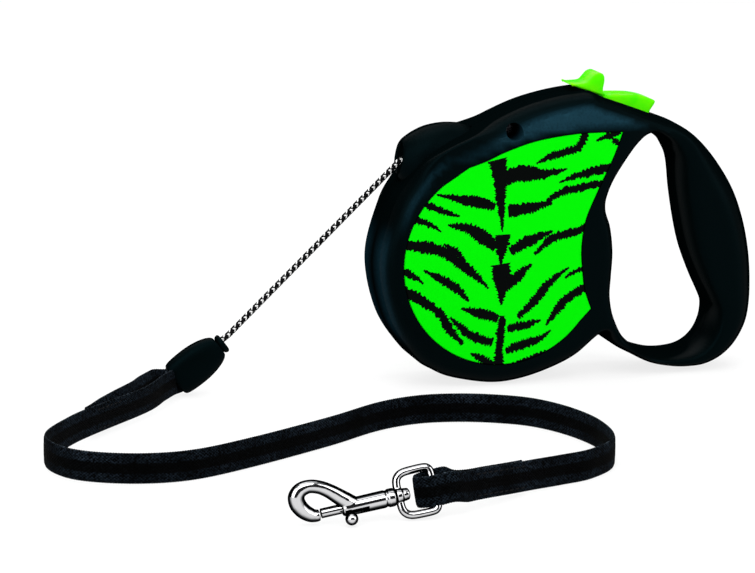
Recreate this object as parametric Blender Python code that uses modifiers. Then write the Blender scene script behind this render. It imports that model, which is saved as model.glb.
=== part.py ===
"""A retractable cord leash: a two-shell casing with a hand loop, a sprung cord reel inside it,
a thumb brake and a lock slide on top, and a short webbing strap with a swivel bolt snap.

Frame, in metres: X runs from the cord outlet (-X) to the back of the hand loop (+X), Y across
the casing, Z up from the surface that the casing stands on.
"""
import math

import bmesh
import bpy
from mathutils import Matrix, Vector

# Fits
GAP = 0.0003                     # between pieces that touch
EPS = 0.001                      # how far a cutter runs past the face that it opens

# Casing. Its outlines are drawn round a body of radius 1, with X from the body's middle and Z from
# the floor, and BODY_RADIUS gives them their size
BODY_X = -0.0253                  # centre of the round body
BODY_RADIUS = 0.048
BODY_SWELL = [(104, 1.012), (118, 1.028), (130, 1.034), (142, 1.022), (155, 1.012), (180, 1.018), (205, 1.028), (225, 1.028),
              (245, 1.016), (262, 0.998), (275, 0.988), (290, 0.988), (305, 0.994), (322, 1.0)]
FOOT_FLAT = 0.0003               # how much of the body is planed off at the floor
BODY_HALF = 0.016                # half of the thickness of the body
WALL = 0.003                     # thickness of the body's side walls
RIM = 0.0068                     # from the reel chamber to the round of the body
HANDLE_HALF = 0.0125             # half of the thickness of the hand loop
EDGE_DROP = 0.007                # depth of the body's rounded edges, across the casing
ROUND_LAND = 0.0010              # half of what is left flat on the edges of the hand loop
HOLE_EDGE = 0.0045               # width of the rounded edges at the sides of the hand hole
BODY_EDGE = 0.006                # width of the rounded edges on the body
BAR_EDGE = 0.0032                # the same on the thin bars of the hand loop
GRIP_EDGE = 0.009                # and on the back of the grip
OUTER_SHARE = 0.50               # most of a bar that its outer round edge takes
HOLE_SHARE = 0.38                # and its edge in the hand hole
GRIP_WALL = 0.0045               # thickness of the grip's side walls
NECK_FROM = 0.44           # the round edges narrow from here
NECK_TO = 0.78             # to here
LOOP_FROM = 0.86           # the casing thins down from here
LOOP_TO = 1.36             # to the hand loop
GRIP_FROM = 1.44           # the grip's edges widen from here
GRIP_TO = 1.82             # to here
HOLE_LOW = 0.50            # ends of the wide part of the hand hole's edges
HOLE_HIGH = 1.83
HOLE_BLEND = 0.33          # length over which they widen
CREST_SHAPE = [(-0.0333, 2.0750), (0.1667, 2.1583), (0.3750, 2.2167), (0.5625, 2.2521),
               (0.6625, 2.2521)]
HANDLE_SHAPE = [(0.8896, 0.2542), (1.0458, 0.1625), (1.2188, 0.0729), (1.3958, 0.0167),
                (1.5417, -0.0042), (1.6771, -0.0042), (1.8125, 0.0563), (1.9292, 0.1583),
                (2.0229, 0.2958), (2.0646, 0.4500), (2.0729, 0.6750), (2.0479, 0.9479),
                (1.9833, 1.2208), (1.8813, 1.4687), (1.7250, 1.7000), (1.5625, 1.8667),
                (1.4021, 1.9688)]
HAND_HOLE_SHAPE = [(1.1687, 1.9021), (1.0437, 1.8250), (0.9125, 1.6417), (0.8312, 1.4771),
                   (0.8083, 1.3479), (0.8521, 1.2021), (0.8771, 1.0042), (0.8688, 0.8062),
                   (0.8583, 0.6479), (0.8875, 0.4750), (0.9583, 0.3333), (1.1125, 0.2021),
                   (1.2625, 0.1479), (1.4083, 0.1333), (1.5625, 0.1604), (1.6708, 0.2396),
                   (1.7292, 0.3500), (1.7417, 0.4667), (1.7104, 0.5521), (1.6208, 0.7312),
                   (1.5375, 0.9354), (1.4833, 1.1375), (1.4333, 1.4062), (1.4042, 1.6458),
                   (1.3625, 1.7542), (1.3021, 1.8375)]
GRIP_POCKET_SHAPE = [(1.5208, 1.6042), (1.5521, 1.3750), (1.6042, 1.1250), (1.6667, 0.9167),
                     (1.7604, 0.7083), (1.8333, 0.5417), (1.9625, 0.4792), (1.9708, 0.6875),
                     (1.9396, 0.9375), (1.8813, 1.1875), (1.7875, 1.4271), (1.6562, 1.6250)]

# Side panels, inlaid round the reel's centre
PANEL_MARGIN = 0.010             # from the panel's round part to the round of the body
PANEL_THICK = 0.001
PANEL_SINK = 0.0014              # depth of the recess that the panel lies in
PANEL_TOP_SHAPE = [(-0.3479, 1.7229), (-0.2083, 1.7688), (-0.0458, 1.8375), (0.1979, 1.9104),
                   (0.5250, 1.9521), (0.8771, 1.9542)]
PANEL_BACK_SHAPE = [(0.8771, 1.9542), (0.8125, 1.7750), (0.6813, 1.4917), (0.5938, 1.2771),
                    (0.5646, 1.0583), (0.5771, 0.8771), (0.5979, 0.7354), (0.6542, 0.5792)]

# Reel
REEL_AHEAD = 0.003               # the reel sits this far in front of the body's middle
REEL_BELOW = 0.0006              # and this far below it
AXLE_RADIUS = 0.003
AXLE_COVER = 0.0028              # what is left of the body outside the axle's sockets
BOSS_RADIUS = 0.0055
BOSS_HEIGHT = 0.0023
WASHER_ROOM = 0.0012             # from the boss's face to the reel
FLANGE = 0.0014                  # thickness of the reel's flanges
CUP_WALL = 0.0018
WINDING_DEPTH = 0.0115           # how deep the cord lies on its cup
HUB_RADIUS = 0.0060
REEL_CLEARANCE = 0.0010          # from the tips of the ratchet to the chamber
TOOTH_DEPTH = 0.0030
TOOTH_COUNT = 24
TOOTH_GAP_SHARE = 0.52           # share of the pitch that is open
TOOTH_FLANK_SHARE = 0.06         # share of the pitch that each flank takes
WASHER_RADIUS = 0.0054
WINDING_ROOM = 0.0022            # from the wound cord to the rim of the flanges
SPRING_TURNS = 7
SPRING_STRIP = 0.0005            # thickness of the mainspring's strip

# Cord and its outlet
CORD_RADIUS = 0.00115
NOSE_SPOT = (-0.8125, 1.7625)   # centre of the mouth
NOSE_TILT = math.radians(8)      # the mouth looks up by this much
NOSE_FLATTEN = 0.80              # width across the casing as a share of the height
NOSE_PROFILE = [(0.0, 0.0066), (0.0007, 0.0073), (0.004, 0.0096), (0.009, 0.0121),
                (0.014, 0.0139), (0.019, 0.0149), (0.0225, 0.0151), (0.0250, 0.0146),
                (0.0265, 0.0136)]
MOUTH_RADIUS = 0.0054
THROAT_RADIUS = 0.0030
EYELET_RADIUS = 0.0024           # the hole that the cord runs through
EYELET_DEPTH = 0.0030            # from the mouth to the front of the eyelet
EYELET_LENGTH = 0.0032
LIP = 0.0006                     # bevel on the edges of the small turned pieces

# Brake and lock, on a bed that slopes down towards the hand loop
BED_SPOT = (0.7896, 2.1958)     # where the two buttons meet
BED_SLOPE = math.radians(19.6)
BED_FRONT = -0.0022              # where the bed starts and runs out, along the slope
BED_BACK = 0.0245
ROOF = 0.0024                    # thickness of the casing under the brake
LOCK_ROOF = 0.0039               # and under the lock slide
BUTTON_HALF = 0.0055             # half of the width of both buttons
BRAKE_TRAVEL = 0.0030
LOCK_TRAVEL = 0.0035
LOCK_OUTLINE = [(-0.0137, 0.0006), (-0.0108, 0.0017), (-0.0080, 0.0030), (-0.0070, 0.0048),
                (-0.0060, 0.0069), (-0.0044, 0.0080), (-0.0026, 0.0077), (-0.0015, 0.0057),
                (-0.0011, 0.0032)]
BRAKE_OUTLINE = [(0.0012, 0.0012), (0.0060, 0.0028), (0.0114, 0.0044), (0.0160, 0.0051),
                 (0.0195, 0.0050), (0.0203, 0.0042), (0.0196, 0.0012)]
BRAKE_FRONT = 0.0006             # front and back faces of the button's shank, along the slope
BRAKE_BACK = 0.0192
LOCK_STEM = (-0.0078, -0.0040)   # front and back of the lock's stem, along the slope
STEM_HALF = 0.0020
FOOT_HALF = 0.0045
PLATE = 0.0018                   # thickness of the pawl's plate and of the lock's foot
MECH_WALL = 0.0045               # thickness of the casing beside the hollow for the brake
MECH_FLOOR = -0.0130             # floor of that hollow, off the bed
MECH_FRONT = -0.0010             # its front and back, along the slope
MECH_BACK = 0.0125
PAWL_U = 0.0045                  # middle of the pawl's leg, along the slope
PAWL_HALF = 0.0024               # half of the leg's width
PAWL_TIP_HALF = 0.0011
PAWL_REST_GAP = 0.0010           # from the pawl's tip to the ratchet at rest
PAWL_SIDE = 0.0021               # half of the leg's thickness
PAWL_TAPER = 0.0060              # length of the leg's tapered end
PAWL_PLATE_BACK = 0.0045         # how far the pawl's plate runs behind the leg
PAWL_PLATE_SIDE = 0.0025         # and past the button's side
SPRING_U = 0.0085                # middle of the brake spring, along the slope
SPRING_Y = 0.0040                # and across the casing
SPRING_RADIUS = 0.0020
SPRING_WIRE = 0.0003
LEAF_THICK = 0.0005              # leaf spring of the lock
LEAF_SEAT = 0.0013               # how far its ends reach into the shells
LOCK_FOOT_LAP = 0.0005           # how far the lock's foot runs past its stem
STEM_JOIN = 0.0020               # how far the stem reaches into the thumb piece

# Case screws: place as on the casing, side (-1 or 1) of the head, radius of the recess for the head
SCREWS = {"case_screw_front": (0.0167, 1.9833, -1, 0.0032),
          "case_screw_root": (0.7938, 0.5042, 1, 0.0026),
          "case_screw_heel": (1.8958, 0.2458, 1, 0.0026),
          "case_screw_crown": (1.4896, 1.8042, 1, 0.0026)}
SCREW_RADIUS = 0.0012
SCREW_HEAD = 0.0022
SCREW_HEAD_HEIGHT = 0.0018
SCREW_REACH = 0.0085             # how far the screw goes into the far shell
RECESS_FLOOR = 0.0042            # distance of the recess's floor from the middle

# Connector between the cord and the strap
CONNECTOR_X = -0.1480            # middle of its strap end
CONNECTOR_Z = 0.0058
CONNECTOR_TILT = math.radians(36)
CONNECTOR_HALF = 0.0043          # half of its thickness
CONNECTOR_LENGTH = 0.0198
CONNECTOR_EGG = [(0.0, 0.0062), (0.005, 0.0069), (0.0095, 0.0070), (0.014, 0.0063),
                 (0.0175, 0.0050)]
CONNECTOR_NOSE = 0.0035          # half of its width at the cord end
CORD_OFF = 0.0012                # the cord enters this far above the connector's middle
CONNECTOR_EDGE = 0.0026          # width and depth of its round edges
CONNECTOR_DROP = 0.0032
CORD_SEAT = 0.0060               # how deep the cord goes into it
COLLAR_LENGTH = 0.0022
COLLAR_RADIUS = 0.0037
SLOT_DEPTH = 0.0078
PIN_X = 0.0038                   # from the strap end to the middle of the cross pin
PIN_RADIUS = 0.0007
PIN_SEAT = 0.0007                # how far the pin's ends reach into the connector

# Strap
STRAP_WIDTH = 0.0105
STRAP_THICK = 0.0011
PLY_GAP = 0.0004
PIN_LAP = 0.056                  # length of the end that is sewn back at the connector
BAR_LAP = 0.040                  # and at the snap
PIN_GAPE = 0.0022                # how far each layer stands off where the end gapes by the connector
PIN_SLIP = 0.0008                # and how far it has slipped along its width there
BAR_GAPE = 0.0043                # half of the opening of the loop round the eye's bar
BAR_SLACK = 0.0060               # how far that loop reaches past the bar
TWIST_LENGTH = 0.110             # the strap has come upright this far from the connector
STRAP_ROUTE = [(-0.1518, -0.0012), (-0.1583, -0.0100), (-0.1665, -0.0234), (-0.1852, -0.0455),
               (-0.1998, -0.0635), (-0.2117, -0.0845), (-0.2068, -0.1030), (-0.1898, -0.1118),
               (-0.1683, -0.1120), (-0.1459, -0.1023), (-0.1116, -0.0816), (-0.0901, -0.0664),
               (-0.0744, -0.0604), (-0.0606, -0.0608), (-0.0475, -0.0653), (-0.0358, -0.0735),
               (-0.0273, -0.0884), (-0.0233, -0.1070), (-0.0258, -0.1275), (-0.0378, -0.1400)]
STRAP_RISE = [(-0.0503, -0.1452, 0.0001), (-0.0615, -0.1504, 0.0007), (-0.0722, -0.1563, 0.0015),
              (-0.0813, -0.1620, 0.0025), (-0.0906, -0.1672, 0.0033)]

# Swivel bolt snap
SWIVEL = Vector((-0.1133, -0.170, 0.0076))
HOOK_TILT = math.radians(9)
EYE_WIRE = 0.00135
EYE_BAR = 0.0136                 # from the swivel to the bar that the strap goes round
EYE_ROOM = 0.0010                # from the strap's edge to the eye's wire
EYE_LEAN = math.radians(22)      # how far the eye has turned out of the upright
COLLAR_DISC = 0.0032
STEM_RADIUS = 0.0013
STEM_HEAD = 0.0018
SHANK_RADIUS = 0.00285
SHANK_END = 0.0185
HOOK_WIRE = 0.0018
HOOK_ROUTE = [(0.0145, 0.0006), (0.0164, 0.0026), (0.0187, 0.0049), (0.0213, 0.0072),
              (0.0245, 0.0090), (0.0278, 0.0099), (0.0309, 0.0094), (0.0327, 0.0074),
              (0.0326, 0.0047), (0.0311, 0.0021), (0.0289, 0.0003), (0.0273, -0.0003),
              (0.0259, -0.0004)]
BOLT_RADIUS = 0.0016
BOLT_FROM = 0.0125               # ends of the bolt at rest, from the swivel
BOLT_TO = 0.0253
BOLT_TRAVEL = 0.0055
BORE_FROM = 0.0046
KNOB_AT = 0.0168
KNOB_RADIUS = 0.0021
KNOB_REACH = 0.0052              # from the bolt's axis to the knob's middle
KNOB_ROLL = math.radians(62)     # how far the knob is turned up from straight down
KNOB_STEM = 0.0009

BODY_Z = BODY_RADIUS * min(k for _, k in BODY_SWELL) - FOOT_FLAT
CAVITY_HALF = BODY_HALF - WALL
POCKET_HALF = HANDLE_HALF - GRIP_WALL
MECH_HALF = BODY_HALF - MECH_WALL
LEAF_HALF = MECH_HALF + LEAF_SEAT
AXLE_SEAT = BODY_HALF - AXLE_COVER
BOSS_FACE = CAVITY_HALF - BOSS_HEIGHT
REEL_HALF = BOSS_FACE - WASHER_ROOM
CHAMBER_RADIUS = BODY_RADIUS - RIM
TOOTH_TIP = CHAMBER_RADIUS - REEL_CLEARANCE
TOOTH_ROOT = TOOTH_TIP - TOOTH_DEPTH
WINDING_RADIUS = TOOTH_ROOT - WINDING_ROOM
CUP_RADIUS = WINDING_RADIUS - WINDING_DEPTH
PANEL_RADIUS = BODY_RADIUS - PANEL_MARGIN
REEL_X = BODY_X - REEL_AHEAD
REEL_Z = BODY_Z - REEL_BELOW


def case_point(x, z):
    """A place on the casing, from body radii to metres."""
    return (BODY_X + BODY_RADIUS * x, BODY_RADIUS * z)


def case_points(places):
    return [case_point(*place) for place in places]


def on_case(place):
    x, z = case_point(*place)
    return Vector((x, 0.0, z))


ACROSS = Vector((0.0, 1.0, 0.0))
REEL = Vector((REEL_X, 0.0, REEL_Z))
BED = on_case(BED_SPOT)
ALONG = Vector((math.cos(BED_SLOPE), 0.0, -math.sin(BED_SLOPE)))
ABOVE = Vector((math.sin(BED_SLOPE), 0.0, math.cos(BED_SLOPE)))
NOSE_AXIS = Vector((-math.cos(NOSE_TILT), 0.0, math.sin(NOSE_TILT)))
MOUTH = on_case(NOSE_SPOT)

for old in list(bpy.data.objects):
    bpy.data.objects.remove(old, do_unlink=True)

scene_root = bpy.context.scene.collection
leash = bpy.data.collections.new("retractable_leash")
cutters = bpy.data.collections.new("cutters")
scene_root.children.link(leash)
scene_root.children.link(cutters)


def make_material(name, colour, roughness, metallic=0.0):
    """A Principled material of one finish."""
    mat = bpy.data.materials.new(name)
    mat.use_nodes = True
    shader = mat.node_tree.nodes["Principled BSDF"]
    shader.inputs["Base Color"].default_value = (*colour, 1.0)
    shader.inputs["Roughness"].default_value = roughness
    shader.inputs["Metallic"].default_value = metallic
    mat.diffuse_color = (*colour, 1.0)
    return mat


CASE_BLACK = make_material("case_black", (0.012, 0.013, 0.016), 0.45)
PANEL_GREEN = make_material("panel_green", (0.01, 0.85, 0.01), 0.35)
BUTTON_LIME = make_material("button_lime", (0.12, 0.9, 0.01), 0.3)
STEEL = make_material("steel", (0.55, 0.55, 0.57), 0.3, 1.0)
CHROME = make_material("chrome", (0.75, 0.75, 0.77), 0.15, 1.0)
NYLON = make_material("nylon", (0.75, 0.74, 0.70), 0.5)
CORD_BLACK = make_material("cord_black", (0.02, 0.02, 0.022), 0.8)
WEBBING = make_material("webbing", (0.05, 0.05, 0.055), 0.9)


def catmull(points, steps, closed=False):
    """Points along a smooth curve that passes through the given ones."""
    pts = [Vector(p) for p in points]
    count = len(pts)
    out = []
    for i in range(count if closed else count - 1):
        if closed:
            a, b, c, d = (pts[(i + k) % count] for k in (-1, 0, 1, 2))
        else:
            a, b = pts[max(i - 1, 0)], pts[i]
            c, d = pts[i + 1], pts[min(i + 2, count - 1)]
        for k in range(steps):
            t = k / steps
            out.append(0.5 * (2 * b + (c - a) * t + (2 * a - 5 * b + 4 * c - d) * t * t
                              + (3 * b - a - 3 * c + d) * t ** 3))
    if not closed:
        out.append(pts[-1])
    return out


def arc(centre, radius, start, stop, steps):
    """Points on a circle between two angles in degrees."""
    angles = [math.radians(start + (stop - start) * i / steps) for i in range(steps + 1)]
    return [(centre[0] + radius * math.cos(a), centre[1] + radius * math.sin(a)) for a in angles]


def ramp(value, low, high):
    """0 below low, 1 above high, and smooth between them."""
    t = min(max((value - low) / (high - low), 0.0), 1.0)
    return t * t * (3 - 2 * t)


def add_object(name, data, mat=None):
    """Put a mesh or curve in the model, or among the cutters where it has no material."""
    obj = bpy.data.objects.new(name, data)
    if mat is None:
        cutters.objects.link(obj)
        obj.hide_render = True
        obj.display_type = "WIRE"
    else:
        leash.objects.link(obj)
        data.materials.append(mat)
    return obj


def finish_mesh(name, bm, mat=None, smooth_angle=None):
    """Close a bmesh into an object with its faces pointing out."""
    bmesh.ops.recalc_face_normals(bm, faces=bm.faces)
    mesh = bpy.data.meshes.new(name)
    bm.to_mesh(mesh)
    bm.free()
    if smooth_angle:
        mesh.shade_smooth()
        mesh.set_sharp_from_angle(angle=math.radians(smooth_angle))
    return add_object(name, mesh, mat)


def box(name, low, high, mat=None):
    """A box between two corners of its own frame."""
    bm = bmesh.new()
    size = Vector(high) - Vector(low)
    middle = (Vector(high) + Vector(low)) / 2
    place = Matrix.Translation(middle) @ Matrix.Diagonal((*size, 1.0))
    bmesh.ops.create_cube(bm, size=1.0, matrix=place)
    return finish_mesh(name, bm, mat)


def rod(name, start, end, radius, sides, mat=None):
    """A cylinder between two points."""
    start, end = Vector(start), Vector(end)
    axis = end - start
    turn = axis.to_track_quat("Z", "Y").to_matrix().to_4x4()
    bm = bmesh.new()
    bmesh.ops.create_cone(bm, cap_ends=True, segments=sides, radius1=radius, radius2=radius,
                          depth=axis.length, matrix=Matrix.Translation((start + end) / 2) @ turn)
    return finish_mesh(name, bm, mat, 40)


def turned(name, profile, origin, axis, steps, mat=None, closed=True):
    """A profile of (radius, height) points turned about an axis."""
    mesh = bpy.data.meshes.new(name)
    points = [(r, 0.0, h) for r, h in profile]
    edges = [(i, i + 1) for i in range(len(points) - 1)]
    if closed:
        edges.append((len(points) - 1, 0))
    mesh.from_pydata(points, edges, [])
    obj = add_object(name, mesh, mat)
    obj.location = origin
    up = Vector(axis).normalized()
    first = ACROSS if abs(up.y) < 0.9 else Vector((1.0, 0.0, 0.0))
    first = (first - up * first.dot(up)).normalized()
    turn = Matrix((first, up.cross(first), up)).transposed()
    obj.rotation_euler = turn.to_euler()
    screw = obj.modifiers.new("turn", "SCREW")
    screw.steps = screw.render_steps = steps
    screw.use_merge_vertices = True
    screw.merge_threshold = 0.00001
    return obj


def curve_to_mesh(obj, mat=None):
    """Replace a curve by its welded mesh."""
    graph = bpy.context.evaluated_depsgraph_get()
    mesh = bpy.data.meshes.new_from_object(obj.evaluated_get(graph))
    name, place = obj.name, obj.matrix_world.copy()
    bpy.data.objects.remove(obj, do_unlink=True)
    bm = bmesh.new()
    bm.from_mesh(mesh)
    bpy.data.meshes.remove(mesh)
    bmesh.ops.remove_doubles(bm, verts=bm.verts, dist=0.000005)
    out = finish_mesh(name, bm, mat, 40)
    out.matrix_world = place
    return out


def outline_solid(name, points, half, middle, mat=None):
    """A flat outline in the XZ plane, extruded to both sides of Y = middle."""
    data = bpy.data.curves.new(name, "CURVE")
    data.dimensions = "2D"
    data.fill_mode = "BOTH"
    data.extrude = half
    spline = data.splines.new("POLY")
    spline.points.add(len(points) - 1)
    for slot, p in zip(spline.points, points):
        slot.co = (p[0], p[1], 0.0, 1.0)
    spline.use_cyclic_u = True
    obj = add_object(name, data)
    obj.rotation_euler = (math.pi / 2, 0.0, 0.0)
    obj.location = (0.0, middle, 0.0)
    bpy.context.view_layer.update()
    return curve_to_mesh(obj, mat)


def tube(name, points, radius, resolution, mat, closed=False):
    """A round tube along points."""
    data = bpy.data.curves.new(name, "CURVE")
    data.dimensions = "3D"
    data.bevel_depth = radius
    data.bevel_resolution = resolution
    data.use_fill_caps = True
    spline = data.splines.new("POLY")
    spline.points.add(len(points) - 1)
    for slot, p in zip(spline.points, points):
        slot.co = (*p, 1.0)
    spline.use_cyclic_u = closed
    return add_object(name, data, mat)


def boolean(obj, cutter, operation="DIFFERENCE"):
    """Cut, join or keep the common part of two solids."""
    mod = obj.modifiers.new(cutter.name, "BOOLEAN")
    mod.operation = operation
    mod.object = cutter
    mod.solver = "EXACT"


def rounded_plate(name, outlines, thickness, mat=None):
    """A plate in the XZ plane with round edges, thicker or thinner from place to place.

    Each outline keeps the material on its left, and comes with the width and the depth of its
    round edge as functions of the point. thickness gives half of the thickness at a point.
    """
    bm = bmesh.new()
    angles = [math.radians(a) for a in (90, 62, 31, 0)]
    caps = {-1: [], 1: []}
    for points, edge_at, drop_at in outlines:
        count = len(points)
        rings = []
        for side in (-1, 1):
            for angle in (angles if side < 0 else reversed(angles)):
                ring = []
                for i, p in enumerate(points):
                    along = Vector(points[(i + 1) % count]) - Vector(points[i - 1])
                    inward = Vector((-along[1], along[0])).normalized()
                    inset = inward * edge_at(p) * (1 - math.cos(angle))
                    drop = drop_at(p)
                    y = side * (thickness(p) - drop + drop * math.sin(angle))
                    ring.append(bm.verts.new((p[0] + inset[0], y, p[1] + inset[1])))
                rings.append(ring)
        for low, high in zip(rings, rings[1:]):
            for i in range(count):
                j = (i + 1) % count
                bm.faces.new((low[i], low[j], high[j], high[i]))
        for side, ring in ((-1, rings[0]), (1, rings[-1])):
            for i in range(count):
                caps[side].append(bm.edges.get((ring[i], ring[(i + 1) % count])))
    for edges in caps.values():
        bmesh.ops.triangle_fill(bm, use_beauty=True, edges=edges, normal=ACROSS)
    return finish_mesh(name, bm, mat, 40)


def frame_empty(name, place):
    """An empty that carries the pieces of one moving body."""
    empty = bpy.data.objects.new(name, None)
    leash.objects.link(empty)
    empty.matrix_world = place
    return empty


# Casing: outline, hand hole and the hollows inside
def case_outline():
    """The casing's outer outline, with the material on its left."""
    bed_top = BED + ALONG * BED_BACK
    corner = BED + ALONG * BED_FRONT
    back_of_bed = [(p.x, p.z) for p in (corner, (BED + bed_top) / 2, bed_top)]
    crown = catmull([*case_points(HANDLE_SHAPE), *reversed(back_of_bed),
                     *reversed(case_points(CREST_SHAPE))], 2)
    swell = [(BODY_X + BODY_RADIUS * k * math.cos(math.radians(a)),
              BODY_Z + BODY_RADIUS * k * math.sin(math.radians(a))) for a, k in BODY_SWELL]
    body = catmull(swell, 4)
    return [(p[0], max(p[1], 0.0)) for p in [*crown, *body]]


def distance_to(point, points):
    """Distance from a point to a closed outline."""
    spot = Vector(point)
    gaps = []
    for i, p in enumerate(points):
        start = Vector(points[i - 1])
        side = Vector(p) - start
        share = min(max((spot - start).dot(side) / side.length_squared, 0.0), 1.0)
        gaps.append((spot - start - side * share).length)
    return min(gaps)


def radii_back(point):
    """How far behind the body's middle a point is, in body radii."""
    return (point[0] - BODY_X) / BODY_RADIUS


def half_at(point):
    """Half of the casing's thickness, from the body to the hand loop."""
    thinned = ramp(radii_back(point), LOOP_FROM, LOOP_TO)
    return BODY_HALF + (HANDLE_HALF - BODY_HALF) * thinned


def outer_edge_at(point):
    """Width of the outer round edge: narrow on the bars, wide on the body and the grip."""
    on_bar = ramp(radii_back(point), NECK_FROM, NECK_TO)
    on_grip = ramp(radii_back(point), GRIP_FROM, GRIP_TO)
    wide = BODY_EDGE + (BAR_EDGE - BODY_EDGE) * on_bar + (GRIP_EDGE - BAR_EDGE) * on_grip
    return min(wide, OUTER_SHARE * distance_to(point, hole))


def hole_edge_at(point):
    """Width of the round edge of the hand hole."""
    height = point[1] / BODY_RADIUS
    from_ends = min(height - HOLE_LOW, HOLE_HIGH - height)
    wide = BAR_EDGE + (HOLE_EDGE - BAR_EDGE) * ramp(from_ends, 0.0, HOLE_BLEND)
    return min(wide, HOLE_SHARE * distance_to(point, outline))


def outer_drop_at(point):
    """Depth of the outer round edge: the hand loop is round all over."""
    full = half_at(point) - ROUND_LAND
    return EDGE_DROP + (full - EDGE_DROP) * ramp(radii_back(point), NECK_TO, LOOP_TO)


def hole_drop_at(point):
    """Depth of the round edge of the hand hole."""
    return half_at(point) - 2 * ROUND_LAND


outline = case_outline()
hole = [tuple(p) for p in reversed(catmull(case_points(HAND_HOLE_SHAPE), 2, closed=True))]


def moved_outline(points, distance):
    """An outline moved away from the material on its left."""
    out = []
    for i, p in enumerate(points):
        along = Vector(points[(i + 1) % len(points)]) - Vector(points[i - 1])
        outward = Vector((along[1], -along[0])).normalized()
        out.append((p[0] + outward[0] * distance, p[1] + outward[1] * distance))
    return out


def panel_outline():
    """The side panel's outline, with the material on its left."""
    top = catmull(case_points(PANEL_TOP_SHAPE), 3)
    back = catmull(case_points(PANEL_BACK_SHAPE), 3)
    round_part = arc((REEL_X, REEL_Z), PANEL_RADIUS, 128, 322, 36)
    return [tuple(p) for p in [*round_part, *reversed(back[1:]), *reversed(top)]]


def on_bed(obj):
    """Stand a piece on the sloping bed: its X runs down the slope and its Z off the bed."""
    obj.rotation_euler = (0.0, BED_SLOPE, 0.0)
    obj.location = BED
    return obj


def bed_point(along, above, y=0.0):
    return BED + ALONG * along + ABOVE * above + Vector((0.0, y, 0.0))


panel_points = panel_outline()
chamber_profile = [(0.0, BOSS_FACE), (BOSS_RADIUS, BOSS_FACE), (BOSS_RADIUS, CAVITY_HALF),
                   (CHAMBER_RADIUS, CAVITY_HALF), (CHAMBER_RADIUS, -CAVITY_HALF),
                   (BOSS_RADIUS, -CAVITY_HALF), (BOSS_RADIUS, -BOSS_FACE), (0.0, -BOSS_FACE)]
chamber = turned("cut_chamber", chamber_profile, REEL, ACROSS, 72, closed=False)
socket = rod("cut_socket", REEL - ACROSS * AXLE_SEAT, REEL + ACROSS * AXLE_SEAT,
             AXLE_RADIUS + GAP, 24)

# Nose: a turned hood at the cord's outlet, flattened to the casing's width
nose_end = NOSE_PROFILE[-1][0]
hood = [(r, s) for s, r in reversed(NOSE_PROFILE)]
nose_bore = [(MOUTH_RADIUS, 0.0), (MOUTH_RADIUS, EYELET_DEPTH + EYELET_LENGTH + GAP),
             (THROAT_RADIUS, EYELET_DEPTH + EYELET_LENGTH + GAP), (THROAT_RADIUS, nose_end)]
cord_nose = turned("cord_nose", [*hood, *nose_bore], MOUTH, -NOSE_AXIS, 40, CASE_BLACK)
cord_nose.scale = (NOSE_FLATTEN, 1.0, 1.0)
reel_room = rod("cut_reel_room", REEL - ACROSS * 0.03, REEL + ACROSS * 0.03, CHAMBER_RADIUS, 72)
boolean(cord_nose, reel_room)
wide_hood = [(0.0, nose_end + GAP), *[(r + GAP, s) for r, s in hood[1:]], (0.0, -GAP)]
wide_hood.insert(1, (hood[0][0] + GAP, nose_end + GAP))
nose_room = turned("cut_nose_room", wide_hood, MOUTH, -NOSE_AXIS, 40, closed=False)
nose_room.scale = (NOSE_FLATTEN + 2 * GAP / hood[0][0], 1.0, 1.0)

eyelet_outer = MOUTH_RADIUS - GAP
eyelet_back = EYELET_DEPTH + EYELET_LENGTH
eyelet_profile = [(eyelet_outer, eyelet_back), (eyelet_outer, EYELET_DEPTH + LIP),
                  (eyelet_outer - LIP, EYELET_DEPTH), (EYELET_RADIUS + LIP, EYELET_DEPTH),
                  (EYELET_RADIUS, EYELET_DEPTH + LIP), (EYELET_RADIUS, eyelet_back)]
nose_eyelet = turned("nose_eyelet", eyelet_profile, MOUTH, -NOSE_AXIS, 40, STEEL)
nose_eyelet.scale = cord_nose.scale

# Hollows for the brake and the lock
lock_front = LOCK_STEM[0] - LOCK_TRAVEL - GAP
lock_foot = (LOCK_STEM[0] - LOCK_FOOT_LAP, LOCK_STEM[1] + LOCK_FOOT_LAP)
brake_chamber = on_bed(box("cut_brake_chamber", (MECH_FRONT, -MECH_HALF, MECH_FLOOR),
                           (MECH_BACK, MECH_HALF, -ROOF)))
lock_chamber = on_bed(box("cut_lock_chamber",
                          (lock_foot[0] - LOCK_TRAVEL - GAP, -MECH_HALF, MECH_FLOOR),
                          (0.0, MECH_HALF, -LOCK_ROOF)))
brake_end = max(u for u, _ in BRAKE_OUTLINE)
brake_slot = on_bed(box("cut_brake_slot",
                        (BRAKE_FRONT - GAP, -BUTTON_HALF - GAP, -ROOF - BRAKE_TRAVEL - GAP),
                        (brake_end + GAP, BUTTON_HALF + GAP, 0.02)))
bed_groove = on_bed(box("cut_bed_groove", (-0.025, -BUTTON_HALF - GAP, 0.0),
                        (BRAKE_FRONT, BUTTON_HALF + GAP, 0.02)))
lock_slot = on_bed(box("cut_lock_slot", (lock_front, -STEM_HALF - GAP, -LOCK_ROOF - EPS),
                       (LOCK_STEM[1] + GAP, STEM_HALF + GAP, 0.02)))

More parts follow.
